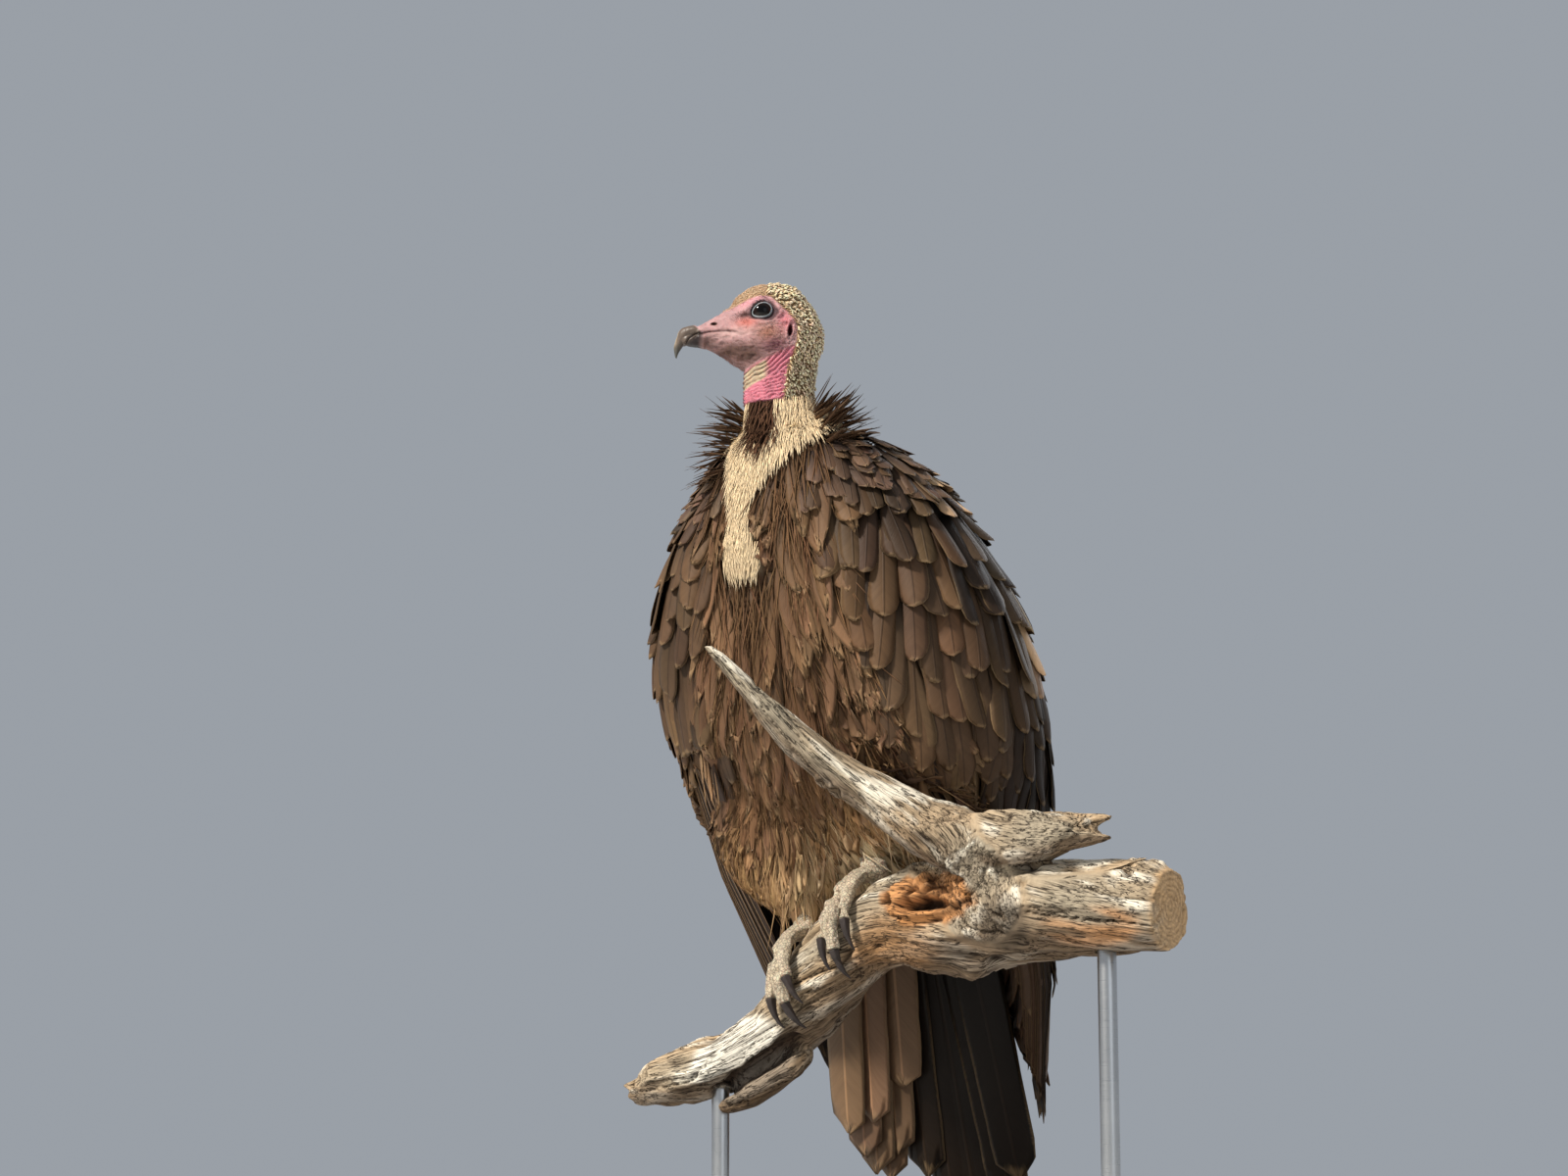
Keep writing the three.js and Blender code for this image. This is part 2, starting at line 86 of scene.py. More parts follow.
def scramble(cell, seed):
    """A whole number from 0 to 65535 for each cell of a grid, without any pattern."""
    h = (cell[:, 0] * STRIDES[0]) ^ (cell[:, 1] * STRIDES[1]) ^ (cell[:, 2] * STRIDES[2])
    h = (h ^ (seed * STIR)) & 0xFFFFFFFF
    h = ((h ^ (h >> 13)) * STIR_AGAIN) & 0xFFFFFFFF
    return (h ^ (h >> 16)) & 0xFFFF


def lumps(points, size, seed=0):
    """Smooth noise from -1 to 1 whose lumps are about size across; size may be per axis."""
    p = points / np.asarray(size, float)
    cell = np.floor(p).astype(np.int64)
    f = p - cell
    f = f * f * (3 - 2 * f)
    total = np.zeros(len(p))
    for corner in np.ndindex(2, 2, 2):
        value = scramble(cell + np.array(corner), seed) / 32767.5 - 1
        total += value * np.prod(np.where(corner, f, 1 - f), axis=1)
    return total


def cells(points, size, seed=0):
    """Distance to the nearest of scattered centres, as a share of size."""
    p = points / size
    base = np.floor(p).astype(np.int64)
    near = np.full(len(p), 9.0)
    for step in np.ndindex(3, 3, 3):
        cell = base + np.array(step) - 1
        centre = cell.astype(float)
        for axis in range(3):
            centre[:, axis] += scramble(cell, seed + 7 * axis + 1) / 65535.0
        near = np.minimum(near, np.linalg.norm(p - centre, axis=1))
    return near


def rgb(red, green, blue):
    """A colour given as 0..255 on the screen, as linear light."""
    c = np.array([red, green, blue], float) / 255
    return np.where(c <= 0.04045, c / 12.92, ((c + 0.055) / 1.055) ** 2.4)


def blend_colours(colour, other, share):
    return colour + (other - colour) * np.asarray(share)[..., None]


def layered(colour, *layers):
    """A colour under others, each given with how much of it covers what is below."""
    for other, share in layers:
        colour = blend_colours(colour, other, share)
    return colour


# ---- mesh tools ----
def deselect_all():
    bpy.ops.object.select_all(action="DESELECT")


def activate(obj):
    deselect_all()
    obj.select_set(True)
    bpy.context.view_layer.objects.active = obj


def new_object(name, data):
    obj = bpy.data.objects.new(name, data)
    bpy.context.scene.collection.objects.link(obj)
    return obj


def join(first, *others):
    """Makes the others part of the first, which is left active."""
    activate(first)
    for other in others:
        other.select_set(True)
    if others:
        bpy.ops.object.join()
    return first


class Editing:
    """Edit mode on the active object for as long as its block lasts."""

    def __enter__(self):
        bpy.ops.object.mode_set(mode="EDIT")

    def __exit__(self, *_):
        bpy.ops.object.mode_set(mode="OBJECT")


def finish_modifier(obj, kind, **settings):
    """Adds a modifier with these settings and applies it."""
    activate(obj)
    modifier = obj.modifiers.new(kind.lower(), kind)
    for key, value in settings.items():
        setattr(modifier, key, value)
    bpy.ops.object.modifier_apply(modifier=modifier.name)


def copy_of(name, *nodes):
    """One new object with the merged shapes of CAD nodes."""
    parts = [new_object(name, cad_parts[node].data.copy()) for node in nodes]
    for part in parts:
        part.data.materials.clear()
    obj = join(*parts)
    with Editing():
        bpy.ops.mesh.select_all(action="SELECT")
        bpy.ops.mesh.remove_doubles(threshold=DOUBLES)
    obj.name = name
    return obj


# How fine pieces are remade, in millimetres, and how many times they are smoothed.
HEAD_FINE, FOOT_FINE, CLAW_FINE, GUIDE_FINE = (0.65, 16), (1.0, 3), (0.6, 3), (3.6, 14)
BILL_PART_FINE, BILL_FINE, WOOD_FINE = (0.5, 2), (0.42, 7), (1.5, 3)


def remesh(obj, voxel, rounds):
    finish_modifier(obj, "REMESH", mode="VOXEL", voxel_size=voxel * MM)
    finish_modifier(obj, "SMOOTH", factor=0.5, iterations=rounds)
    return obj


def points_of(obj):
    flat = np.empty(len(obj.data.vertices) * 3)
    obj.data.vertices.foreach_get("co", flat)
    return flat.reshape(-1, 3) / MM


def normals_of(obj):
    flat = np.empty(len(obj.data.vertices) * 3)
    obj.data.vertex_normals.foreach_get("vector", flat)
    return flat.reshape(-1, 3)


def place_points(obj, points):
    obj.data.vertices.foreach_set("co", (points * MM).ravel())
    obj.data.update()


def triangles_of(obj):
    obj.data.calc_loop_triangles()
    flat = np.empty(len(obj.data.loop_triangles) * 3, np.int32)
    obj.data.loop_triangles.foreach_get("vertices", flat)
    return flat.reshape(-1, 3)


def smooth_faces(mesh):
    mesh.polygons.foreach_set("use_smooth", np.ones(len(mesh.polygons), bool))


def tree_of(obj):
    return BVHTree.FromPolygons(points_of(obj).tolist(), triangles_of(obj).tolist())


def close_to(tree, points, reach):
    """1 for points within reach of a tree's surface, else 0."""
    return np.array([tree.find_nearest(p, reach)[0] is not None for p in points.tolist()], float)


def paint(obj, name, colours):
    """Stores a colour for each vertex, which the materials read by name."""
    layer = obj.data.color_attributes.get(name)
    if layer is None:
        layer = obj.data.color_attributes.new(name, "FLOAT_COLOR", "POINT")
    full = np.ones((len(colours), 4))
    full[:, :3] = colours
    layer.data.foreach_set("color", full.ravel())


def note(obj, name, values):
    """Stores a number or a vector for each vertex, which the materials read by name."""
    kind, field = ("FLOAT", "value") if np.ndim(values) == 1 else ("FLOAT_VECTOR", "vector")
    layer = obj.data.attributes.new(name, kind, "POINT")
    layer.data.foreach_set(field, np.asarray(values, float).ravel())


def finished(obj, material, slot, *replaced):
    """Gives a piece its material, hangs it on the root body and hides any CAD nodes it replaces.
    """
    obj.data.materials.clear()
    obj.data.materials.append(material)
    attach(obj, "root")
    if replaced:
        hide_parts(*replaced)
    return obj


def mesh_piece(name, points, quads, triangles):
    """An object from arrays of points in millimetres, quads and triangles."""
    corners = np.concatenate([quads.ravel(), triangles.ravel()]).astype(np.int32)
    sizes = np.repeat([4, 3], [len(quads), len(triangles)])
    starts = np.concatenate([[0], np.cumsum(sizes)[:-1]]).astype(np.int32)
    mesh = bpy.data.meshes.new(name)
    mesh.vertices.add(len(points))
    mesh.vertices.foreach_set("co", (points * MM).astype(np.float32).ravel())
    mesh.loops.add(len(corners))
    mesh.loops.foreach_set("vertex_index", corners)
    mesh.polygons.add(len(sizes))
    mesh.polygons.foreach_set("loop_start", starts)
    mesh.update(calc_edges=True)
    smooth_faces(mesh)
    return new_object(name, mesh)


# ---- materials ----
class Finish:
    """A material with a Principled shader and short calls for its nodes."""

    def __init__(self, name, roughness, **sockets):
        self.material = bpy.data.materials.new(name)
        self.material.use_nodes = True
        self.tree = self.material.node_tree
        self.shader = self.tree.nodes["Principled BSDF"]
        self.shader.inputs["Roughness"].default_value = roughness
        for key, value in sockets.items():
            self.shader.inputs[key.replace("_", " ")].default_value = value

    def node(self, kind, inputs=(), **settings):
        node = self.tree.nodes.new("ShaderNode" + kind)
        for key, value in settings.items():
            setattr(node, key, value)
        for key, value in dict(inputs).items():
            self.give(node.inputs[key], value)
        return node

    def give(self, socket, value):
        if isinstance(value, bpy.types.NodeSocket):
            self.tree.links.new(value, socket)
        else:
            socket.default_value = value

    def math(self, operation, a, b=0.0):
        return self.node("Math", {0: a, 1: b}, operation=operation).outputs[0]

    def times(self, a, b):
        return self.math("MULTIPLY", a, b)

    def plus(self, a, b):
        return self.math("ADD", a, b)

    def less(self, a, b):
        return self.math("SUBTRACT", a, b)

    def rest(self, value):
        """What a value leaves of 1."""
        return self.less(1.0, value)

    def soft(self, value, much, least):
        """A value scaled by much and lifted by least."""
        return self.plus(self.times(value, much), least)

    def band(self, value, low, high):
        """0 to 1 as value goes from low to high."""
        given = {"Value": value, "From Min": low, "From Max": high}
        return self.node("MapRange", given, interpolation_type="SMOOTHSTEP").outputs[0]

    def mix(self, share, a, b, blend="MIX"):
        node = self.node("Mix", data_type="RGBA", blend_type=blend, clamp_factor=True)
        self.give(node.inputs[0], share)
        self.give(node.inputs[6], a)
        self.give(node.inputs[7], b)
        return node.outputs[2]

    def noise(self, vector, scale, detail=3.0, roughness=0.55):
        given = {"Vector": vector, "Scale": scale, "Detail": detail, "Roughness": roughness}
        return self.node("TexNoise", given).outputs["Fac"]

    def net(self, vector, scale=5.0):
        """How far each place lies from the lines between cells."""
        given = {"Vector": vector, "Scale": scale}
        return self.node("TexVoronoi", given, feature="DISTANCE_TO_EDGE").outputs["Distance"]

    def stretched(self, vector, scale):
        given = {"Vector": vector, "Scale": scale}
        return self.node("Mapping", given).outputs[0]

    def attribute(self, name):
        return self.node("Attribute", attribute_name=name)

    def tint(self):
        return self.attribute("tint").outputs["Color"]

    def place(self):
        return self.node("TexCoord").outputs["Object"]

    def scaled(self, colour, value):
        """The colour, made lighter or darker by a value round 1."""
        grey = self.node("CombineColor", {0: value, 1: value, 2: value}).outputs[0]
        return self.mix(1.0, colour, grey, "MULTIPLY")

    def colour(self, value):
        self.give(self.shader.inputs["Base Color"], value)

    def roughness(self, value):
        self.give(self.shader.inputs["Roughness"], value)

    def bump(self, height, distance, strength=1.0):
        given = {"Height": height, "Distance": distance, "Strength": strength}
        normal = self.node("Bump", given).outputs[0]
        self.give(self.shader.inputs["Normal"], normal)


def solid(colour):
    return (*colour, 1.0)


def vane_finish(name, fringe, roughness, shaft, barbs=0.16):
    """Feather vanes: a tint, a shaft line, barbs slanting to the edges, a worn fringe."""
    f = Finish(name, roughness, Specular_IOR_Level=0.16)
    tint = f.tint()
    vane = f.attribute("vane").outputs["Vector"]
    split = f.node("SeparateXYZ", {0: vane}).outputs
    span = f.node("SeparateXYZ", {0: f.attribute("span").outputs["Vector"]}).outputs
    across = f.math("ABSOLUTE", split[0])
    # barbs run from the shaft to the edge, leaning towards the tip
    lean = f.less(span[1], f.times(f.math("ABSOLUTE", span[0]), 1.1))
    barb = f.node("CombineXYZ", {0: lean, 1: f.times(split[0], 0.9), 2: split[2]})
    fine = f.noise(f.stretched(barb.outputs[0], (1.6, 1.0, 9.0)), 1.0, 2.0)
    broad = f.noise(f.stretched(barb.outputs[0], (0.22, 0.6, 5.0)), 1.0, 3.0)
    value = f.soft(fine, 2 * barbs, 1.0 - barbs)
    value = f.times(value, f.soft(broad, 0.5, 0.75))
    colour = f.scaled(tint, value)
    worn = f.plus(across, f.times(fine, 0.14))
    edge = f.band(worn, 0.94, 1.04)
    tip = f.band(f.plus(split[1], f.times(fine, 0.04)), 0.98, 1.01)
    rim = f.times(f.math("MAXIMUM", edge, tip), f.band(split[1], 0.35, 0.7))
    colour = f.mix(f.times(rim, fringe), colour, solid(rgb(176, 146, 108)))
    line = f.rest(f.band(across, 0.03, 0.09))
    pale = f.mix(1.0, tint, solid((2.6, 2.5, 2.4)), "MULTIPLY")
    colour = f.mix(f.times(line, abs(shaft)), colour,
                   pale if shaft > 0 else solid(rgb(22, 15, 11)))
    f.colour(colour)
    height = f.plus(f.times(fine, 0.6), f.times(line, 0.8))
    f.bump(height, 0.0005, 0.7)
    return f.material


def down_finish(name, roughness=0.85):
    """Soft down and fur: the tint, streaked along each strand."""
    f = Finish(name, roughness, Specular_IOR_Level=0.1)
    tint = f.tint()
    vane = f.attribute("vane").outputs["Vector"]
    streak = f.noise(f.stretched(vane, (3.0, 1.3, 11.0)), 1.0, 3.0)
    value = f.soft(streak, 0.5, 0.75)
    f.colour(f.scaled(tint, value))
    f.bump(streak, 0.0004, 0.6)
    return f.material


def skin_finish():
    """Bare skin: the painted tint with fine creases, pores and a little bloom."""
    f = Finish("bare_skin", 0.52, Specular_IOR_Level=0.4, Subsurface_Weight=0.12,
               Subsurface_Scale=0.004)
    f.shader.inputs["Subsurface Radius"].default_value = (1.0, 0.35, 0.25)
    tint = f.tint()
    place = f.place()
    pores = f.noise(place, 1700.0, 2.0)
    creases = f.net(f.stretched(place, (620, 620, 900)))
    blotch = f.noise(place, 160.0, 4.0)
    value = f.soft(blotch, 0.7, 0.68)
    value = f.less(value, f.times(f.less(0.5, pores), 0.25))
    flush = f.band(f.noise(place, 420.0, 3.0), 0.5, 0.7)
    colour = f.mix(f.times(flush, 0.22), tint, solid((0.42, 0.10, 0.10)), "MULTIPLY")
    scaly = f.attribute("scaly").outputs["Fac"]
    gap = f.rest(f.band(f.net(f.stretched(place, (400, 400, 400)), 1.0), 0.0, 0.12))
    colour = f.mix(f.times(f.times(gap, scaly), 0.8), colour, solid(rgb(124, 100, 76)))
    f.colour(f.scaled(colour, value))
    f.roughness(f.soft(blotch, 0.2, 0.42))
    height = f.plus(f.band(creases, 0.0, 0.16), f.times(pores, 0.5))
    rise = f.rest(gap)
    height = f.plus(height, f.times(f.times(rise, scaly), 3.2))
    f.bump(height, 0.0005, 0.9)
    return f.material


def horn_finish():
    """Bill and claws: the painted tint with growth streaks under a dull polish."""
    f = Finish("horn", 0.4, Specular_IOR_Level=0.32)
    tint = f.tint()
    place = f.place()
    streak = f.noise(f.stretched(place, (900, 900, 240)), 1.0, 4.0)
    scuff = f.noise(place, 420.0, 5.0, 0.65)
    value = f.plus(f.times(streak, 0.4), f.times(scuff, 0.25))
    f.colour(f.scaled(tint, f.plus(value, 0.68)))
    f.roughness(f.soft(scuff, 0.3, 0.3))
    f.bump(streak, 0.0002, 0.5)
    return f.material


def eye_finish():
    """A dark brown iris round a black pupil under a wet cornea."""
    f = Finish("eye", 0.06, Specular_IOR_Level=0.22)
    f.colour(f.tint())
    f.roughness(f.plus(f.times(f.noise(f.place(), 300.0), 0.05), 0.04))
    return f.material


def wood_finish():
    """Weathered wood: grain along the limb, silver bleach, dark cracks, orange heart."""
    f = Finish("weathered_wood", 0.82, Specular_IOR_Level=0.22)
    tint = f.tint()
    grain = f.attribute("grain").outputs["Vector"]
    clear = f.attribute("clear").outputs["Fac"]
    fibre = f.noise(f.stretched(grain, (0.035, 0.75, 0.75)), 1.0, 5.0, 0.62)
    knotty = f.noise(f.place(), 90.0, 5.0, 0.6)
    fibre = f.plus(f.times(fibre, clear), f.times(f.soft(knotty, 0.2, 0.4), f.rest(clear)))
    fine = f.times(clear, f.noise(f.stretched(grain, (0.16, 2.6, 2.6)), 1.0, 3.0))
    fleck = f.noise(f.place(), 260.0, 5.0, 0.7)
    value = f.times(f.soft(fibre, 2.3, -0.12), f.soft(fleck, 0.6, 0.7))
    colour = f.scaled(tint, value)
    crack = f.rest(f.band(fibre, 0.34, 0.42))
    long = f.noise(f.stretched(grain, (0.012, 0.3, 0.3)), 1.0, 3.0, 0.6)
    line = f.math("ABSOLUTE", f.less(long, 0.5))
    line = f.times(clear, f.rest(f.band(line, 0.003, 0.028)))
    dark = f.math("MAXIMUM", f.times(crack, 0.7), f.times(line, 0.9))
    f.colour(f.mix(dark, colour, solid(rgb(44, 32, 23))))
    height = f.plus(fibre, f.times(fine, 0.35))
    height = f.less(height, f.times(line, 0.8))
    f.bump(height, 0.0016, 0.9)
    return f.material


def plinth_finish():
    """A dark stained and waxed wooden base."""
    f = Finish("plinth", 0.35, Specular_IOR_Level=0.4, Coat_Weight=0.25, Coat_Roughness=0.2)
    place = f.place()
    ring = f.noise(f.stretched(place, (3.0, 55.0, 55.0)), 1.0, 6.0, 0.6)
    pore = f.noise(f.stretched(place, (30.0, 900.0, 900.0)), 1.0, 3.0)
    value = f.plus(f.times(ring, 0.9), f.times(pore, 0.35))
    colour = f.mix(f.band(value, 0.35, 0.95), solid(rgb(30, 20, 15)), solid(rgb(84, 56, 38)))
    f.colour(colour)
    f.roughness(f.soft(pore, 0.25, 0.26))
    f.bump(pore, 0.0003, 0.4)
    return f.material


def steel_finish():
    """Brushed stainless steel rods and collars."""
    f = Finish("steel", 0.3, Metallic=1.0)
    place = f.place()
    brush = f.noise(f.stretched(place, (40.0, 40.0, 2600.0)), 1.0, 3.0)
    smudge = f.noise(place, 28.0, 4.0)
    f.colour(f.mix(smudge, solid(rgb(176, 177, 178)), solid(rgb(205, 205, 204))))
    f.roughness(f.soft(brush, 0.22, 0.2))
    f.bump(brush, 0.0001, 0.3)
    return f.material


# ---- the body's chart: an angle from the breast round the left side, and a height ----
# By height: the y of the body's middle.
AXIS = [[700, -80], [640, -62], [600, -50], [560, -35], [500, -15], [430, 0], [366, 13],
        [310, 40], [268, 64], [220, 95], [150, 125], [90, 142]]


def chart(points):
    """Angle in degrees, -180 to 180, and height of points in the bird's frame."""
    depth = points[:, 1] - column(AXIS, points[:, 2])
    return np.degrees(np.arctan2(points[:, 0], -depth)), points[:, 2]


# Where the cream stripe of the breast lies, by height: its two edges in degrees.
CREAM = [[489, -6, -3], [495, -8.5, -0.5], [503, -11.5, 2], [512, -13, 3],
         [522, -12.5, 1], [538, -10, -2], [555, -12.5, -2], [572, -18.5, 5],
         [591, -23, 22], [610, -42, 53], [628, -150, 150]]
# Where the breast's feathers meet the wings, by height: to the right and to the left.
BREAST = [[300, -27, 48], [380, -26, 43], [414, -26, 38], [455, -25, 33], [497, -23, 30],
          [540, -20, 26], [570, -22, 18], [600, -34, 42]]


def throat_edge(angle, z):
    """How far outside the dark throat a place lies, in degrees."""
    return np.abs(angle + 6 - 8 * ramp(612, 588, z)) - 15.5 * ramp(586, 609, z)


def in_cream(angle, z, margin=0.0):
    left, right = edges_of(CREAM, z)
    return (angle > left - margin) & (angle < right + margin) & (z > 498)


def in_throat(angle, z, margin=0.0):
    """The dark plush blotch under the neck."""
    return (throat_edge(angle, z) < margin) & (z > 588)


BROWN = rgb(108, 80, 56)
# deep brown, used for the painted shadow under the crop and for painted shade at the flank
# feathers' roots
BROWN_DEEP = rgb(52, 32, 20)
CREAM_TIP = rgb(234, 212, 176)
CREAM_ROOT = rgb(222, 196, 156)
THROAT = rgb(72, 48, 34)
BUFF = rgb(168, 131, 90)
SHANK = rgb(228, 208, 172)
WING = rgb(50, 37, 28)
WING_LIGHT = rgb(98, 73, 50)
PALE_EDGE = rgb(190, 156, 120)


def coat_colour(points, cream=1.0):
    """The markings of skin and coat, in the bird's frame, with a painted shadow under the crop.
    """
    angle, z = chart(points)
    first, last = edges_of(BREAST, z)
    side = ramp(4, 12, np.maximum(first - angle, angle - last))
    low = ramp(75, 50, np.abs(angle)) * ramp(44, -4, z - 322 - 30 * hump(30, 18, angle))
    # painted shadow under the crop's bulge
    crop_shadow = hump(462, 16, z) * hump(-3, 9, angle)
    left, right = edges_of(CREAM, z)
    inside = ramp(-2, 2, np.minimum(angle - left, right - angle)) * ramp(492, 499, z)
    throat = ramp(3, -3, throat_edge(angle, z)) * ramp(584, 592, z)
    return layered(BROWN, (WING, side), (BUFF, low), (BROWN_DEEP, 0.85 * crop_shadow),
                   (CREAM_ROOT, inside * cream), (THROAT, throat))


# ---- the head's frame ----
def middle_of(node):
    low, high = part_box(node)
    return (np.array(low) + np.array(high)) / 2 / MM


EYE_LEFT, EYE_RIGHT = middle_of("eye_left"), middle_of("eye_right")
EYE_RADIUS = (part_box("eye_left")[1].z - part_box("eye_left")[0].z) / 2 / MM
EYE_AHEAD = 1.8
ACROSS = unit(EYE_RIGHT - EYE_LEFT)
AHEAD = np.cross([0, 0, 1.0], ACROSS)
HEAD_AXES = np.array([ACROSS, AHEAD, [0, 0, 1.0]])
HEAD_AT = (EYE_LEFT + EYE_RIGHT) / 2 - EYE_AHEAD * AHEAD
EYE_SIDE = np.linalg.norm(EYE_RIGHT - EYE_LEFT) / 2


def to_head(points):
    return (points - HEAD_AT) @ HEAD_AXES.T


def from_head(points):
    return points @ HEAD_AXES + HEAD_AT


# Seen from the side, ahead of and above the eye: where bare skin meets down and wool.
BARE_EDGE = [(31, 4), (23, 5.5), (11, 11), (3, 12.5), (-5, 11), (-10, 5.5), (-17, -1.5),
             (-22, -7.5), (-24, -14.5), (-23.5, -22.5), (-21, -30.5), (-17.5, -38.5),
             (-15.5, -49.5), (-14, -64.5)]
FUR_LINE = -66.5  # the bare neck ends here
GAPE = [(49, -14.4), (41, -12.4), (29, -12.5), (22, -14.2), (15, -18.5), (9, -22.5)]
EAR = (-18.7, -15.3)
NOSTRIL = (37.0, -6.5)


def polyline_distance(y, z, line):
    """Distance to a line of points, and how far along it from 0 to 1."""
    best = np.full(len(y), 1e9)
    along = np.zeros(len(y))
    count = len(line) - 1
    for i in range(count):
        (y0, z0), (y1, z1) = line[i], line[i + 1]
        d = np.array([y1 - y0, z1 - z0])
        t = np.clip(((y - y0) * d[0] + (z - z0) * d[1]) / (d @ d), 0, 1)
        far = np.hypot(y - y0 - t * d[0], z - z0 - t * d[1])
        nearer = far < best
        best = np.where(nearer, far, best)
        along = np.where(nearer, (i + t) / count, along)
    return best, along


def wool_depth(q):
    """Over the bare edge, in millimetres: positive where down and wool grow."""
    y, z = q[:, 1], q[:, 2]
    far, _ = polyline_distance(y, z, BARE_EDGE)
    ys = np.array([p[0] for p in BARE_EDGE] + [-14, 90, 90, 31])
    zs = np.array([p[1] for p in BARE_EDGE] + [-110, -110, 4, 4])
    inside = np.zeros(len(y), bool)
    for i in range(len(ys)):
        j = (i + 1) % len(ys)
        crosses = (zs[i] > z) != (zs[j] > z)
        span = np.where(crosses, zs[j] - zs[i], 1.0)
        inside ^= crosses & (y < (ys[j] - ys[i]) * (z - zs[i]) / span + ys[i])
    return np.where(inside, -far, far)


EYE_LONG, EYE_TALL = 7.2, 5.1  # half the opening's length and height
EYE_TILT = 20.0  # the opening's rear corner is the higher


def eye_ring(q):
    """How far out from the eye's opening, 1 on its edge; the opening is almond-shaped."""
    tilt = math.radians(EYE_TILT)
    u = (q[:, 1] - EYE_AHEAD) * math.cos(tilt) - q[:, 2] * math.sin(tilt)
    v = (q[:, 1] - EYE_AHEAD) * math.sin(tilt) + q[:, 2] * math.cos(tilt)
    narrow = EYE_TALL * (1 - 0.18 * np.clip(u / EYE_LONG, -0.6, 1.2))
    return np.hypot(u / EYE_LONG, v / narrow), u, v


# Soft patches of colour on the head: ahead, above, half length, half height, strength.
PINK = rgb(214, 168, 167)
PATCHES = [
    (rgb(248, 176, 184), 12, 9, 17, 6, 0.95),  # bright brow and forehead
    (rgb(208, 162, 162), 36, -8, 12, 6, 0.6),  # base of the bill
    (rgb(230, 124, 108), 13, -8.5, 8, 4.5, 0.85),  # warm skin under the eye
    (rgb(226, 186, 180), 24, -15, 15, 4, 0.8),  # pale fold over the mouth
    (rgb(86, 54, 43), 26, -27, 15, 5.5, 0.92),  # lower jaw
    (rgb(80, 50, 39), 12, -31, 14, 7, 0.95),  # chin
    (rgb(184, 122, 96), -3, -17, 10, 6, 0.9),  # brown cheek
    (rgb(110, 42, 64), -8, -26, 10, 5.5, 0.98),  # purple under the ear
    (rgb(246, 146, 156), -15, -8, 6, 8, 0.85),  # bright skin behind the eye
    (rgb(112, 82, 72), 42, -20, 9, 5, 0.85),  # the lower bill's base
    (rgb(72, 34, 32), 15.0, -2.5, 5.0, 1.9, 0.95),  # dark crease before the eye
]
HORN_GREY, HORN_DARK, HORN_TAN = rgb(86, 73, 64), rgb(34, 22, 21), rgb(156, 138, 114)
HORN_TIP, MOUTH_LINE = rgb(70, 68, 62), rgb(34, 26, 24)
# FOLD_RED and BAND_BROWN colour the neck's fold valleys, partly as painted shade
FOLD_RED, BAND_BROWN, THROAT_SKIN = rgb(190, 82, 104), rgb(110, 72, 56), rgb(96, 56, 66)
LID_DARK, GAPE_DARK = rgb(66, 44, 50), rgb(92, 62, 56)
EAR_RED, NOSTRIL_DARK = rgb(92, 30, 36), rgb(104, 70, 54)
# From above to below: where skin gives way to horn, ahead by height.
HORN_EDGE = [[-32, 44], [-18, 43], [-15.5, 41.7], [-7.8, 48.4], [4, 58.7]]
NECK_PINK = rgb(238, 142, 160)
BAND_CREAM = rgb(226, 206, 170)
WOOL_SKIN, PLUSH_SKIN = rgb(168, 136, 100), rgb(186, 154, 120)


def fold_height(q):
    """The neck's slanting folds: 0 in the valleys, 1 on the rounded tops."""
    y, z = q[:, 1], q[:, 2]
    angle = np.radians(25 + 12 * ramp(0, -12, y))
    wave = 1.8 * lumps(q, (9, 9, 9), 3) + 0.7 * lumps(q, (4, 4, 4), 4)
    broad = np.abs(np.sin(np.pi * (y * np.sin(angle) + (z + 44) * np.cos(angle) + wave) / 3.3))
    wave = 1.6 * lumps(q, (6, 6, 6), 13) + 1.1 * lumps(q, (2.6, 2.6, 2.6), 14)
    fine = np.abs(np.sin(np.pi * (y * 0.2 + z + wave) / 2.7))
    low = ramp(-50, -57, z + 0.42 * (y - 10))
    return broad * (1 - low) + (0.2 + 0.8 * fine) * low


def jaw_side(q):
    """Over the line from the chin to the ear: positive below it, on the neck."""
    return -(q[:, 2] + 35.5 + (q[:, 1] - 2) * 0.42)


def past_horn_edge(q):
    return q[:, 1] - column(HORN_EDGE, q[:, 2])


def horn_share(q, start):
    """How far the bare skin has given way to horn, from start over the slanting edge."""
    return ramp(start, start + 3.0, past_horn_edge(q))


def horn_colour(q):
    """Grey-olive horn with a tan ridge, partly its own tan and partly a painted highlight along
    the top, dark along the mouth and at the lower bill.
    """
    y, z = q[:, 1], q[:, 2]
    # the top of the ridge is painted tan: partly the horn's own tan, partly a painted highlight
    top = ramp(4.2, 1.0, np.abs(q[:, 0])) * ramp(-6, 2, z + 12 + 0.9 * (y - 56))
    below = ramp(2.5, -2.0, z + 14.8 + 0.75 * (y - 49))
    return layered(HORN_GREY, (HORN_TAN, top), (HORN_DARK, ramp(63, 59, y) * below),
                   (HORN_TIP, ramp(-17, -26, z) * ramp(58, 61, y)))


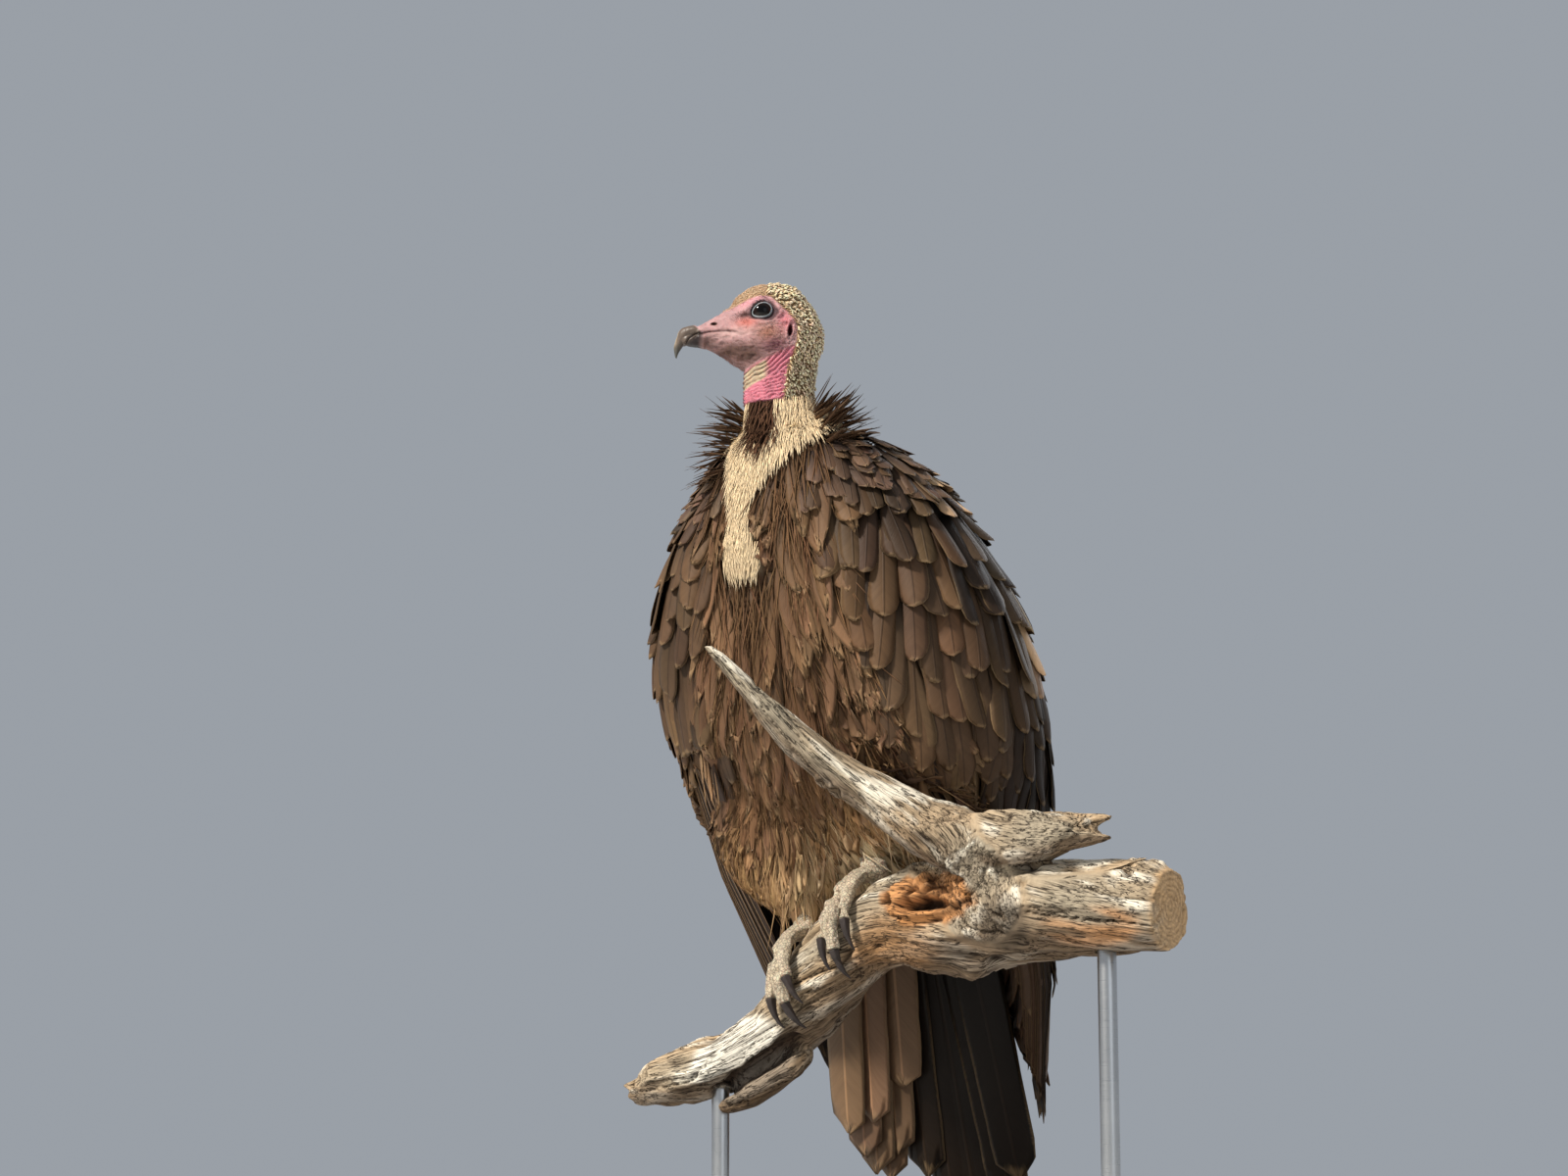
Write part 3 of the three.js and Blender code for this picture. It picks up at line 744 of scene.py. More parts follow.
def head_colour(q):
    """The markings of the head and bare neck, in the head's frame, with painted shade in the
    neck's fold valleys.
    """
    y, z = q[:, 1], q[:, 2]
    colour = PINK
    for shade, ahead, above, long, high, strength in PATCHES:
        spread = np.exp(-(((y - ahead) / long) ** 2) - ((z - above) / high) ** 2)
        colour = blend_colours(colour, shade, strength * spread)
    neck = ramp(-1.0, 2.5, jaw_side(q))
    throat = neck * ramp(6, 2, np.abs(q[:, 0])) * ramp(4, 8, y)
    slant = z + 0.42 * (y - 10)
    bands = neck * ramp(-3, 1, y + 2 * lumps(q, 3.0, 7)) * ramp(-54.5, -53.5, slant)
    bands *= ramp(-40, -41, slant)
    # the fold valleys are painted darker and redder: partly the skin's own redder creases, partly
    # painted shade
    valley_shade = 1 - fold_height(q)
    ring, _, _ = eye_ring(q)
    rim = 1.25 + 0.5 * ramp(4, -5, y) * ramp(5, -3, z)
    far, along = polyline_distance(y, z, GAPE)
    gape = hump(0, 0.7, far) * ramp(0.8, 0.4, along)
    ear = np.hypot((y - EAR[0]) / 1.7, (z - EAR[1]) / 4.4)
    nostril = np.hypot((y - NOSTRIL[0]) / 2.6, (z - NOSTRIL[1]) / 1.3)
    under = blend_colours(WOOL_SKIN, PLUSH_SKIN, ramp(-8, 0, y))
    return layered(colour, (NECK_PINK, neck), (BAND_CREAM, bands * 0.95),
                   (FOLD_RED, neck * (1 - bands) * 0.4 * valley_shade ** 2),
                   (BAND_BROWN, bands * 0.9 * valley_shade ** 2), (THROAT_SKIN, 0.85 * throat),
                   (LID_DARK, 0.9 * ramp(rim + 0.3, rim, ring)), (GAPE_DARK, gape * 0.8),
                   (EAR_RED, ramp(1.25, 0.8, ear)),
                   (NOSTRIL_DARK, ramp(1.25, 0.8, nostril) * 0.9),
                   (under, ramp(-1, 1.5, wool_depth(q))))


# How high or deep the head's features are, in millimetres.
WOOL_ROOM, PLUSH_ROOM, CROWN_FILL, NECK_ROOM = 4.2, 1.4, 4.0, 5.0
BROW, POUCH, CREASE, MOUTH_DEEP, LIP_HIGH = 2.1, 1.0, 1.9, 1.2, 0.5
EAR_RIM, EAR_DEEP, EAR_FOLD, NECK_FOLD, EYE_CREASES = 0.7, 5.0, 1.2, 2.1, 0.4


def head_relief(q, ring, v):
    """How far the head's surface stands out: coat depth, brow, mouth, ear, folds, creases."""
    y, z = q[:, 1], q[:, 2]
    flank = ramp(4, 9, np.abs(q[:, 0]))
    # room for the wool, with the crown filled up and the feathered neck drawn in
    wool = wool_depth(q)
    push = (-WOOL_ROOM * ramp(0, 5, wool) * ramp(12, -8, y)
            - PLUSH_ROOM * ramp(0, 3, wool) * ramp(-8, 12, y))
    push += CROWN_FILL * ramp(0, 5, wool) * ramp(2, 12, z) * ramp(-34, -20, y) * ramp(34, 18, y)
    push -= NECK_ROOM * ramp(FUR_LINE + 1.5, FUR_LINE - 1.5, z)
    bare = ramp(1, -2, wool) * ramp(FUR_LINE - 1, FUR_LINE + 2, z)
    # brow over the eye, pouch under it, and the crease before it
    push += bare * flank * BROW * hump(1.9, 0.5, ring) * ramp(-2, 4, v)
    push += bare * POUCH * hump(1.9, 0.35, ring) * ramp(2, -5, v)
    push -= flank * CREASE * np.exp(-(((y - 14.5) / 4.5) ** 2) - ((z + 2.5) / 1.9) ** 2)
    # the mouth's line and the lip over it
    far, along = polyline_distance(y, z, GAPE)
    push -= bare * flank * MOUTH_DEEP * hump(0, 0.8, far) * ramp(0.95, 0.45, along)
    push += bare * flank * LIP_HIGH * hump(2.6, 1.5, far) * ramp(1.05, 0.6, along)
    # the ear's hole, its rim and the fold above it
    hole = np.hypot((y - EAR[0] + 0.16 * (z - EAR[1])) / 1.5, (z - EAR[1]) / 4.2)
    push += flank * (EAR_RIM * hump(1.7, 0.5, hole) - EAR_DEEP * ramp(1.2, 0.6, hole))
    push += flank * EAR_FOLD * np.exp(-(((y + 15) / 7) ** 2) - ((z + 8.5) / 1.5) ** 2)
    # the neck's folds, the creases round the eye, and the face's wrinkles
    neck = bare * ramp(-1.0, 2.5, jaw_side(q))
    push += neck * (NECK_FOLD * fold_height(q) ** 0.8 - 1.6)
    crow = np.abs(np.sin(np.pi * (ring * 3.1 + 0.5 * lumps(q, 5.0, 8))))
    push += bare * EYE_CREASES * crow * ramp(1.25, 1.5, ring) * ramp(2.9, 2.0, ring)
    push += bare * (1 - neck) * 0.5 * lumps(q, (3.4, 3.4, 1.8), 5)
    wrinkle = np.abs(lumps(q + 1.5 * lumps(q, 5, 9)[:, None], (4.5, 4.5, 1.5), 10))
    push += bare * (1 - neck) * (0.2 * lumps(q, 1.7, 6) + 0.5 * ramp(0, 0.3, wrinkle) - 0.4)
    return push


def sculpt_head(obj):
    """Gives the head its relief, and sinks the skin round each eye onto the eyeball."""
    q = to_head(points_of(obj))
    normal = normals_of(obj) @ HEAD_AXES.T
    reach = np.hypot(q[:, 1] - EYE_AHEAD, q[:, 2])
    side = np.sign(q[:, 0]) + (q[:, 0] == 0)
    flank = ramp(4, 9, np.abs(q[:, 0]))
    ring, _, v = eye_ring(q)
    q = q + normal * head_relief(q, ring, v)[:, None]
    # the opening: skin dips to the eyeball and passes behind it
    out = np.abs(q[:, 0])
    ball = EYE_SIDE + np.sqrt(np.maximum(EYE_RADIUS ** 2 - np.minimum(reach, 8.2) ** 2, 0))
    near = flank * ramp(1.75, 1.12, ring)
    target = ball + 0.4 - 3.4 * ramp(1.13, 0.98, ring)
    out = np.where(ring < 2.2, out + (np.minimum(target, out) - out) * near, out)
    q[:, 0] = side * out
    place_points(obj, from_head(q))
    return obj


def lid_ring(side):
    """The pale rim of an eye's opening, a soft bead that lies on the eyeball."""
    around, section = 72, 10
    turn = np.linspace(0, 2 * np.pi, around, endpoint=False)
    tilt = math.radians(EYE_TILT)
    narrow = EYE_TALL * (1 - 0.18 * np.clip(np.cos(turn), -0.6, 1.2))
    thick = 0.42 + 0.25 * ramp(0.2, -0.9, np.sin(turn)) + 0.2 * ramp(0.3, -0.9, np.cos(turn))
    u, v = EYE_LONG * 1.01 * np.cos(turn), narrow * 1.02 * np.sin(turn)
    y = EYE_AHEAD + u * math.cos(tilt) + v * math.sin(tilt)
    z = -u * math.sin(tilt) + v * math.cos(tilt)
    reach = np.hypot(y - EYE_AHEAD, z)
    x = EYE_SIDE + np.sqrt(np.maximum(EYE_RADIUS ** 2 - np.minimum(reach, 8.6) ** 2, 1))
    centre = np.stack([side * (x + 0.15), y, z], 1)
    outward = unit(centre - [side * EYE_SIDE, EYE_AHEAD, 0])
    along = unit(np.roll(centre, -1, 0) - np.roll(centre, 1, 0))
    across = unit(np.cross(along, outward))
    bead = np.linspace(0, 2 * np.pi, section, endpoint=False)
    points = (
        centre[:, None] + thick[:, None, None] * (
            across[:, None] * np.cos(bead)[None, :, None] * 1.15
            + outward[:, None] * np.sin(bead)[None, :, None] * 0.6)
    ).reshape(-1, 3)
    k, j = np.meshgrid(np.arange(around), np.arange(section), indexing="ij")
    k1, j1 = (k + 1) % around, (j + 1) % section
    quads = np.stack([k * section + j, k1 * section + j, k1 * section + j1, k * section + j1], -1)
    quads = quads.reshape(-1, 4)
    middle = points[quads].mean(1)
    facing = np.cross(points[quads[:, 1]] - points[quads[:, 0]],
                      points[quads[:, 2]] - points[quads[:, 0]])
    core = centre[quads[:, 0] // section]
    if np.sum(facing * (middle - core)) < 0:
        quads = quads[:, ::-1]
    return mesh_piece("lid", from_head(points), quads, np.empty((0, 3), int))


# ---- the skin ----
COAT_DEPTH = 7.0
FOOT_SCALE = 3.0
LID_PALE = rgb(168, 172, 176)
SCALE_PALE, SCALE_TAN = rgb(244, 228, 200), rgb(200, 176, 144)
CROP_AT = np.array([-11.0, -108.0, 512.0])  # the full crop bulges between the feathers


def crop_bulge(points):
    """How far the crop pushes the breast forwards."""
    d = (points - CROP_AT) / [21, 60, 34]
    d[:, 2] = np.where(d[:, 2] > 0, d[:, 2] * 0.62, d[:, 2] * 1.15)
    return 9.0 * ramp(1.25, 0.1, np.linalg.norm(d, axis=1)) * ramp(-40, -80, points[:, 1])


def raise_crop(obj):
    points = points_of(obj)
    shift = crop_bulge(points - BIRD)
    points[:, 1] -= shift
    place_points(obj, points)
    return obj


def inner_solid(name, source, depth, voxel):
    """The part of a solid that lies deeper than depth, as a new closed mesh."""
    volume = new_object(name + "_volume", bpy.data.volumes.new(name))
    fill = volume.modifiers.new("fill", "MESH_TO_VOLUME")
    fill.object = source
    fill.resolution_mode = "VOXEL_SIZE"
    fill.voxel_size = voxel * MM
    fill.interior_band_width = 2 * depth * MM
    obj = new_object(name, bpy.data.meshes.new(name))
    finish_modifier(obj, "VOLUME_TO_MESH", object=volume, resolution_mode="VOXEL_SIZE",
                    voxel_size=voxel * MM, threshold=0.5)
    bpy.data.objects.remove(volume)
    return obj


def keep_largest(obj):
    """Drops the crumbs beside the largest body of a mesh."""
    points = points_of(obj)
    group = np.arange(len(points))
    edges = np.empty(len(obj.data.edges) * 2, np.int32)
    obj.data.edges.foreach_get("vertices", edges)
    a, b = edges.reshape(-1, 2).T
    while True:
        low = np.minimum(group[a], group[b])
        new = group.copy()
        np.minimum.at(new, a, low)
        np.minimum.at(new, b, low)
        new = new[new]
        if np.array_equal(new, group):
            break
        group = new
    names, counts = np.unique(group, return_counts=True)
    kept = group == names[counts.argmax()]
    activate(obj)
    with Editing():
        bpy.ops.mesh.select_all(action="DESELECT")
    obj.data.vertices.foreach_set("select", ~kept)
    with Editing():
        bpy.ops.mesh.delete(type="VERT")
    return obj


def foot_scales(obj):
    """Rounded scales over the toes, finest on the shin."""
    points = points_of(obj)
    normal = normals_of(obj)
    bead = cells(points - BIRD, FOOT_SCALE, 2)
    push = 0.4 * (ramp(0.85, 0.4, bead) - 0.6) + 0.3 * lumps(points, 6, 9)
    place_points(obj, points + normal * push[:, None])


def foot_colour(points):
    """Dusty grey-tan scales, darker between."""
    bead = cells(points - BIRD, FOOT_SCALE, 2)
    tone = 1 + 0.2 * lumps(points, 6, 3)
    return blend_colours(SCALE_PALE * tone[:, None], SCALE_TAN, 0.5 * ramp(0.5, 0.85, bead))


def colour_skin(skin, foot_tree, lid_tree):
    """Paints the markings, and notes which skin is scaly."""
    points = points_of(skin)
    q = to_head(points)
    near_head = ramp(80, 70, np.linalg.norm(q, axis=1))
    scaly = close_to(foot_tree, points, 0.6)
    note(skin, "scaly", scaly)
    paint(skin, "tint", layered(
        coat_colour(points - BIRD),
        (head_colour(q), ramp(FUR_LINE - 1, FUR_LINE + 1, q[:, 2]) * near_head),
        (foot_colour(points), scaly), (LID_PALE, close_to(lid_tree, points, 0.01))))


def unite(obj, other):
    finish_modifier(obj, "BOOLEAN", operation="UNION", solver="MANIFOLD", object=other)
    bpy.data.objects.remove(other)


def make_skin(head, feet):
    """One skin under the whole coat; head and feet are finer and join it without a seam."""
    flesh = copy_of("flesh", "trunk", "neck", "thigh_left", "thigh_right", "wing_left",
                    "wing_right")
    finish_modifier(flesh, "REMESH", mode="VOXEL", voxel_size=3 * MM)
    body = keep_largest(inner_solid("skin", flesh, COAT_DEPTH, 3.2))
    bpy.data.objects.remove(flesh)
    finish_modifier(body, "SMOOTH", factor=0.5, iterations=6)
    finish_modifier(body, "DECIMATE", ratio=0.5)
    raise_crop(body)
    for other in (head, feet):
        unite(body, other)
    return body


# ---- feathers ----
def guide_surface():
    """The outside of the body's coat, smooth, which feathers follow."""
    wings = copy_of("guide_wings", "wing_left", "wing_right")
    finish_modifier(wings, "DISPLACE", strength=1.2 * MM, mid_level=0.0)
    body = copy_of("guide", "trunk", "neck", "thigh_left", "thigh_right")
    join(body, wings)
    remesh(body, *GUIDE_FINE)
    return raise_crop(body)


class Surface:
    """A mesh that roots are scattered on and spines are traced over, in the bird's frame."""

    def __init__(self, obj):
        self.points = points_of(obj) - BIRD
        self.corners = triangles_of(obj)
        self.tree = BVHTree.FromPolygons(self.points.tolist(), self.corners.tolist())
        a, b, c = (self.points[self.corners[:, i]] for i in range(3))
        cross = np.cross(b - a, c - a)
        self.area = np.linalg.norm(cross, axis=1) / 2
        self.facing = unit(cross)

    def scatter(self, spacing, mask, seed):
        """Roots at least spacing apart where mask(points, facing) holds."""
        rng = np.random.default_rng(seed)
        middle = self.points[self.corners].mean(1)
        chosen = np.flatnonzero(mask(middle, self.facing))
        area = self.area[chosen]
        count = int(area.sum() / spacing ** 2 * 4.5)
        face = chosen[rng.choice(len(chosen), count, p=area / area.sum())]
        r = rng.random((count, 2))
        r = np.where(r.sum(1, keepdims=True) > 1, 1 - r, r)
        a, b, c = (self.points[self.corners[face, i]] for i in range(3))
        spots = a + (b - a) * r[:, :1] + (c - a) * r[:, 1:]
        keys = np.floor(spots / spacing).astype(int)
        taken, kept = {}, []
        steps = [tuple(np.array(s) - 1) for s in np.ndindex(3, 3, 3)]
        for i, (key, spot) in enumerate(zip(keys.tolist(), spots.tolist())):
            near = (other for step in steps
                    for other in taken.get(tuple(map(sum, zip(key, step))), ()))
            if all(math.dist(spot, other) >= spacing for other in near):
                taken.setdefault(tuple(key), []).append(spot)
                kept.append(i)
        return spots[kept]

    def trace(self, roots, flow, lengths, t, loose):
        """Spines from the roots with rings at t, led over the surface by flow(i, p, n)."""
        spines = np.empty((len(roots), len(t), 3))
        normals = np.empty((len(roots), len(t), 3))
        steps = np.append(np.diff(t), 0)
        find = self.tree.find_nearest
        for i, root in enumerate(roots):
            p, n, _, _ = find(Vector(root))
            heading = None
            for k, step in enumerate(steps * lengths[i]):
                spines[i, k], normals[i, k] = p, n
                wish = flow(i, p, n)
                wish = (wish - n * wish.dot(n)).normalized()
                heading = wish if heading is None else (heading + wish * 0.8).normalized()
                ahead = p + heading * step
                q, m, _, far = find(ahead)
                if far < loose and m.dot(n) > -0.2:
                    p, n = q, (n + m * 0.7).normalized()
                    heading = (p - Vector(spines[i, k])).normalized()
                else:
                    p = ahead
        return spines, normals


def ring_places(rings, close):
    """Where the rings of a vane lie along it, 0 to 1, closer together towards the tip."""
    return 1 - (1 - np.linspace(0, 1, rings)) ** close


def round_tip(t, start):
    """1 up to start, then a broad rounded end."""
    return np.sqrt(np.clip(1 - ((np.maximum(t, start) - start) / (1 - start)) ** 2.6, 0.02, 1))


def widening(base, full, t):
    """From base at the root to 1 at full."""
    return base + (1 - base) * ramp(0, full, t)


def tapered(base, full, end, fade, power):
    """The half width of vanes that narrow over fade to their end."""
    return lambda t: widening(base, full, t) * np.clip((end - t) / fade, 0, 1) ** power


# Half widths of feathers and tufts along their length, as shares of the widest.
lance_shape = tapered(0.5, 0.35, 1.02, 0.5, 0.65)  # pointed, softly rounded
breast_shape = tapered(0.5, 0.4, 1.03, 0.36, 0.55)  # soft, blunt, loose-edged
strand_shape = tapered(0.6, 0.25, 1.03, 1.0, 0.7)  # a lock of down


def covert_shape(t):
    return widening(0.5, 0.5, t) * round_tip(t, 0.8)


def flight_shape(t):
    return widening(0.7, 0.3, t) * (1 - 0.2 * t) * round_tip(t, 0.92)


def primary_shape(t):
    return widening(0.8, 0.3, t) * (1 - 0.45 * ramp(0.5, 1.0, t)) * round_tip(t, 0.88)


def grain_shape(t):
    """A curled tuft of wool."""
    return np.sqrt(np.clip(1 - np.abs(2 * t - 1) ** 2.6, 0.1, 1))


class Coat:
    """Gathers vanes of one coat piece, then makes its mesh, map and attributes."""

    def __init__(self, name):
        self.name = name
        self.parts = []

    def add(self, spines, normals, t, half, height, root_colour, tip_colour, lanes, camber,
            roll, thick, ragged, fray, seed, patch=0.003):
        """Vanes along spines (count, rings, 3) with half widths and heights over the spine."""
        count, rings, _ = spines.shape
        rng = np.random.default_rng(seed)
        along = unit(np.gradient(spines, axis=1))
        side = unit(np.cross(along, normals))
        up = np.cross(side, along)
        c, s = np.cos(roll)[:, None, None], np.sin(roll)[:, None, None]
        side, up = side * c + up * s, up * c - side * s
        lane = np.linspace(-1, 1, lanes)
        spine = spines + up * height[..., None]
        uneven = 1 + ragged * rng.uniform(-1, 1, (count, rings, lanes))
        reach = half[..., None] * lane * uneven
        sag = camber * half[..., None] * lane ** 2
        slip = fray * rng.uniform(-1, 0.4, (count, 1, lanes)) * (t ** 4)[None, :, None]
        top = (spine[:, :, None] + side[:, :, None] * reach[..., None]
               - up[:, :, None] * sag[..., None] + along[:, :, None] * slip[..., None])
        body = thick * (1 - 0.7 * t)[None, :, None]
        points = np.concatenate([top, (spine - up * body)[:, :, None]], 2)
        length = np.linalg.norm(np.diff(spines, axis=1), axis=2).sum(1)
        full = (count, rings, lanes + 1)
        lane = np.append(lane, 0.0)
        vane = np.empty(full + (3,))
        vane[..., 0] = lane
        vane[..., 1] = t[None, :, None]
        vane[..., 2] = rng.random(count)[:, None, None]
        span = np.zeros(full + (3,))
        span[..., 0] = lane * half[..., None]
        span[..., 1] = t[None, :, None] * length[:, None, None]
        mix = t[None, :, None] * np.ones(full)
        tint = blend_colours(root_colour[:, None, None], tip_colour[:, None, None], mix)
        self.parts.append((points, vane, span, tint, patch))

    def make(self, finish, slot, root_map, *replaced):
        """Joins all vanes; root_map gives each root's place on the skin's unwrap."""
        names = ("points", "vane", "span", "tint", "uv")
        store = {name: [] for name in names}
        quads, ends, first = [], [], 0
        for block, vane, span, tint, patch in self.parts:
            count, rings, size, _ = block.shape
            index = first + np.arange(count * rings * size).reshape(count, rings, size)
            a, b = index[:, :-1], index[:, 1:]
            loop = np.roll(np.arange(size), -1)
            quads.append(np.stack([a, a[..., loop], b[..., loop], b], -1).reshape(-1, 4))
            fan = np.arange(1, size - 1)
            for ring, flip in ((index[:, 0], True), (index[:, -1], False)):
                cap = np.stack([np.broadcast_to(ring[:, :1], (count, len(fan))),
                                ring[:, fan], ring[:, fan + 1]], -1).reshape(-1, 3)
                ends.append(cap[:, ::-1] if flip else cap)
            spot = root_map(block[:, 0, -1])[:, None, None]
            local = np.stack([vane[..., 0] / 2, vane[..., 1] - 0.5], -1)
            for name, values in zip(names, (block, vane, span, tint, spot + patch * local)):
                store[name].append(values.reshape(-1, values.shape[-1]))
            first += count * rings * size
        quads, ends = np.concatenate(quads), np.concatenate(ends)
        joined = {name: np.concatenate(parts) for name, parts in store.items()}
        obj = mesh_piece(self.name, joined["points"] + BIRD, quads, ends)
        note(obj, "vane", joined["vane"])
        note(obj, "span", joined["span"])
        paint(obj, "tint", joined["tint"])
        corners = np.concatenate([quads.ravel(), ends.ravel()])
        layer = obj.data.uv_layers.new(name="OFBake")
        layer.data.foreach_set("uv", joined["uv"][corners].ravel())
        return finished(obj, FINISH[finish], slot, *replaced)


def body_map(points):
    """A root's place on the body unwrapped round its own axis."""
    angle, z = chart(points)
    return np.stack([0.02 + 0.96 * (angle + 180) / 360, 0.02 + 0.96 * (z - 60) / 680], 1)


def head_map(points):
    """A root's place on the head and neck unwrapped round their own axis."""
    q = to_head(points + BIRD)
    angle = np.degrees(np.arctan2(q[:, 0], q[:, 1] + 8))
    return np.stack([0.02 + 0.96 * (angle + 180) / 360, 0.5 + q[:, 2] / 200], 1)


# What the coat pieces are given: finish, slot and map of their roots.
FEATHERED, DOWNY = ("plumage", "plumage", body_map), ("down", "plumage", body_map)
WOOLLY, WINGED = ("down", "plumage", head_map), ("plumage", "flight_feathers", body_map)


def jittered(colour, count, rng, amount):
    """Copies of a colour that differ a little in lightness and warmth."""
    light = 1 + amount * rng.uniform(-1, 1, (count, 1))
    warm = 1 + 0.25 * amount * rng.uniform(-1, 1, (count, 3))
    return np.clip(colour * light * warm, 0, 1)


# Tints of feathers and tufts, at the root and at the tip.
THROAT_TINTS = rgb(50, 32, 22), rgb(92, 64, 46)
RUMP_TINTS = rgb(46, 34, 26), rgb(84, 62, 45)
MANTLE_TINTS = rgb(40, 32, 28), rgb(92, 70, 55)
RUFF_TINTS = rgb(112, 84, 60), rgb(70, 50, 36)
QUILL_TINTS = rgb(84, 64, 46), rgb(150, 120, 86)
WOOL_TINTS = rgb(164, 129, 91), rgb(250, 231, 197)
PLUSH_TINTS = rgb(180, 144, 108), rgb(232, 202, 170)
WOOL_EDGE_TINTS = rgb(124, 94, 66), rgb(200, 166, 126)
LORES_TINTS = rgb(58, 34, 30), rgb(84, 52, 44)
BRISTLE_TINTS = rgb(104, 74, 58), rgb(156, 124, 100)
DOWN = Vector((0, 0, -1))


def falling(outward):
    """Feathers run down the body and, on its top, away from the neck."""
    def flow(p, _):
        return DOWN + Vector((p.x, p.y + 70, 0)) * (outward / 60)
    return flow


def vanes(coat, surface, roots, seed, length, width, root, tip, flow=falling(0.35),
          depth=4.0, lift=2.5, rise=1.1, rings=7, close=1.25, lanes=5, shape=lance_shape,
          camber=0.25, ragged=0.1, fray=2.0, bend=0.2, twist=0.14, thick=0.5, vary=0.2,
          curl=0.0, loose=14.0, patch=0.003):
    """Grows vanes from roots: lengths, widths and colours are ranges, or one for each.

    depth is how deep roots sit, lift how far tips stand off and rise how late; close crowds
    rings to the tip; ragged and fray roughen edges; bend, twist and vary are chance."""
    rng = np.random.default_rng(seed)
    count = len(roots)

    def spread(value):
        if isinstance(value, tuple) and len(value) == 2:
            return rng.uniform(*value, count)
        return np.broadcast_to(value, count)

    lengths, widths = spread(length), spread(width)
    lean = rng.normal(0, bend, count)

    def leaning(i, p, n):
        way = flow(p, n)
        return way + way.cross(n) * lean[i]

    t = ring_places(rings, close)
    spines, normals = surface.trace(roots, leaning, lengths, t, loose)
    half = widths[:, None] / 2 * shape(t)[None]
    stand = (depth + lift * rng.uniform(0.35, 1.3, count))[:, None]
    arch = curl * lengths[:, None] * np.sin(np.pi * t)[None]
    height = -depth + stand * t[None] ** rise + arch
    roll = rng.normal(0, twist, count)
    colours = [jittered(c, count, rng, vary) for c in (root, tip)]
    coat.add(spines, normals, t, half, height, *colours, lanes, camber, roll, thick, ragged,
             fray, seed, patch)


def grow(coat, surface, spacing, zone, seed, *sizes_and_colours, **settings):
    """A tract of vanes whose roots are scattered over a zone."""
    roots = surface.scatter(spacing, zone, seed)
    vanes(coat, surface, roots, seed, *sizes_and_colours, **settings)


def quills(coat, roots, ways, lengths, widths, facing, droop, root, tip, seed, rings=6,
           shape=lance_shape, lanes=3, thick=0.5, camber=0.3, ragged=0.08, fray=1.0,
           vary=0.2, patch=0.003):
    """Free feathers from roots along ways; droop is how far each bends aside, a vector."""
    rng = np.random.default_rng(seed)
    t = ring_places(rings, 1.2)
    spines = (roots[:, None] + ways[:, None] * (lengths[:, None] * t)[..., None]
              + droop[:, None] * (t ** 2)[None, :, None])
    normals = np.broadcast_to(facing[:, None], spines.shape)
    half = widths[:, None] / 2 * shape(t)[None]
    count = len(roots)
    coat.add(spines, normals, t, half, np.zeros_like(half), jittered(root, count, rng, vary),
             jittered(tip, count, rng, vary), lanes, camber, rng.normal(0, 0.3, count), thick,
             ragged, fray, seed, patch)


# ---- the body's tracts ----
def breast_zone(p, _):
    angle, z = chart(p)
    left, right = edges_of(BREAST, z)
    inside = (angle > left - 3) & (angle < right + 4) & (z > 368) & (z < 606)
    clear = -1.0 + 7.0 * hump(512, 34, z) + 3.0 * hump(555, 20, z)
    return inside & ~in_cream(angle, z, clear) & (p[:, 1] < 10)


def breast_lengths(roots, least, most, seed):
    """Feather lengths, short over the bare-looking crop so that it shows."""
    angle, z = chart(roots)
    lengths = np.random.default_rng(seed).uniform(least, most, len(roots))
    over = (np.abs(angle + 4) < 15) & (z > 500)
    lengths = np.where(over, np.minimum(lengths, np.maximum(z - 528, 22)), lengths)
    beside = (angle > 28) & (z < 490)
    return np.where(beside, np.minimum(lengths, np.maximum(z - 396, 26)), lengths)


def cream_zone(p, _):
    angle, z = chart(p)
    return in_cream(angle, z, 1.0) & ~in_throat(angle, z, -1.0) & (z < 632) & (p[:, 1] < -50)


def throat_zone(p, _):
    angle, z = chart(p)
    return in_throat(angle, z) & (z < 630)


def flank_zone(p, _):
    """Where belly feathers reach out under the front edges of the wings."""
    angle, z = chart(p)
    right, left = (angle < -22) & (angle > -44), (angle > 38) & (angle < 66)
    return (z > 296) & (z < 398) & (right | left)


def leg_zone(p, facing):
    aside = (p[:, 0] > -70) & (p[:, 0] < 105)
    under = (p[:, 1] < 0) & (p[:, 2] > 284) & (facing[:, 2] > -0.9)
    return (p[:, 2] < 384) & (p[:, 1] < 45) & aside & ((facing[:, 2] > -0.55) | under)


def rump_zone(p, _):
    angle, _ = chart(p)
    return (p[:, 2] < 345) & (p[:, 1] > 45) & (np.abs(angle) > 60) & (np.abs(p[:, 0]) < 80)


def mantle_zone(p, _):
    angle, z = chart(p)
    left, right = edges_of(BREAST, z)
    aside = (angle < left) | (angle > right)
    high = (z > 574) & (z < 640)
    behind = (np.abs(angle) > 158) & (z > 330)
    return (aside & high & ~in_cream(angle, z, 3) & (p[:, 1] > -115)) | behind


def breast_colour(roots, lightness):
    """Brown, mottled lighter and darker in tall patches."""
    return coat_colour(roots, 0) * (lightness + 0.3 * lumps(roots, (16, 30, 40), 6))[:, None]


def leg_colour(roots, lightness, strength):
    """The coat's own colour, with a pale shank between the legs."""
    angle, z = chart(roots)
    pale = ramp(356, 322, z) * hump(20, 24, angle)
    return blend_colours(coat_colour(roots) * lightness, SHANK, strength * pale)


# Wing coverts, by the height of the row's roots: length and width.
COVERT_ROWS = [[608, 28, 12], [597, 34, 15], [582, 44, 18], [561, 56, 21], [534, 66, 23],
               [505, 76, 23], [474, 84, 22], [444, 90, 20], [414, 96, 17], [384, 106, 15],
               [350, 118, 13]]
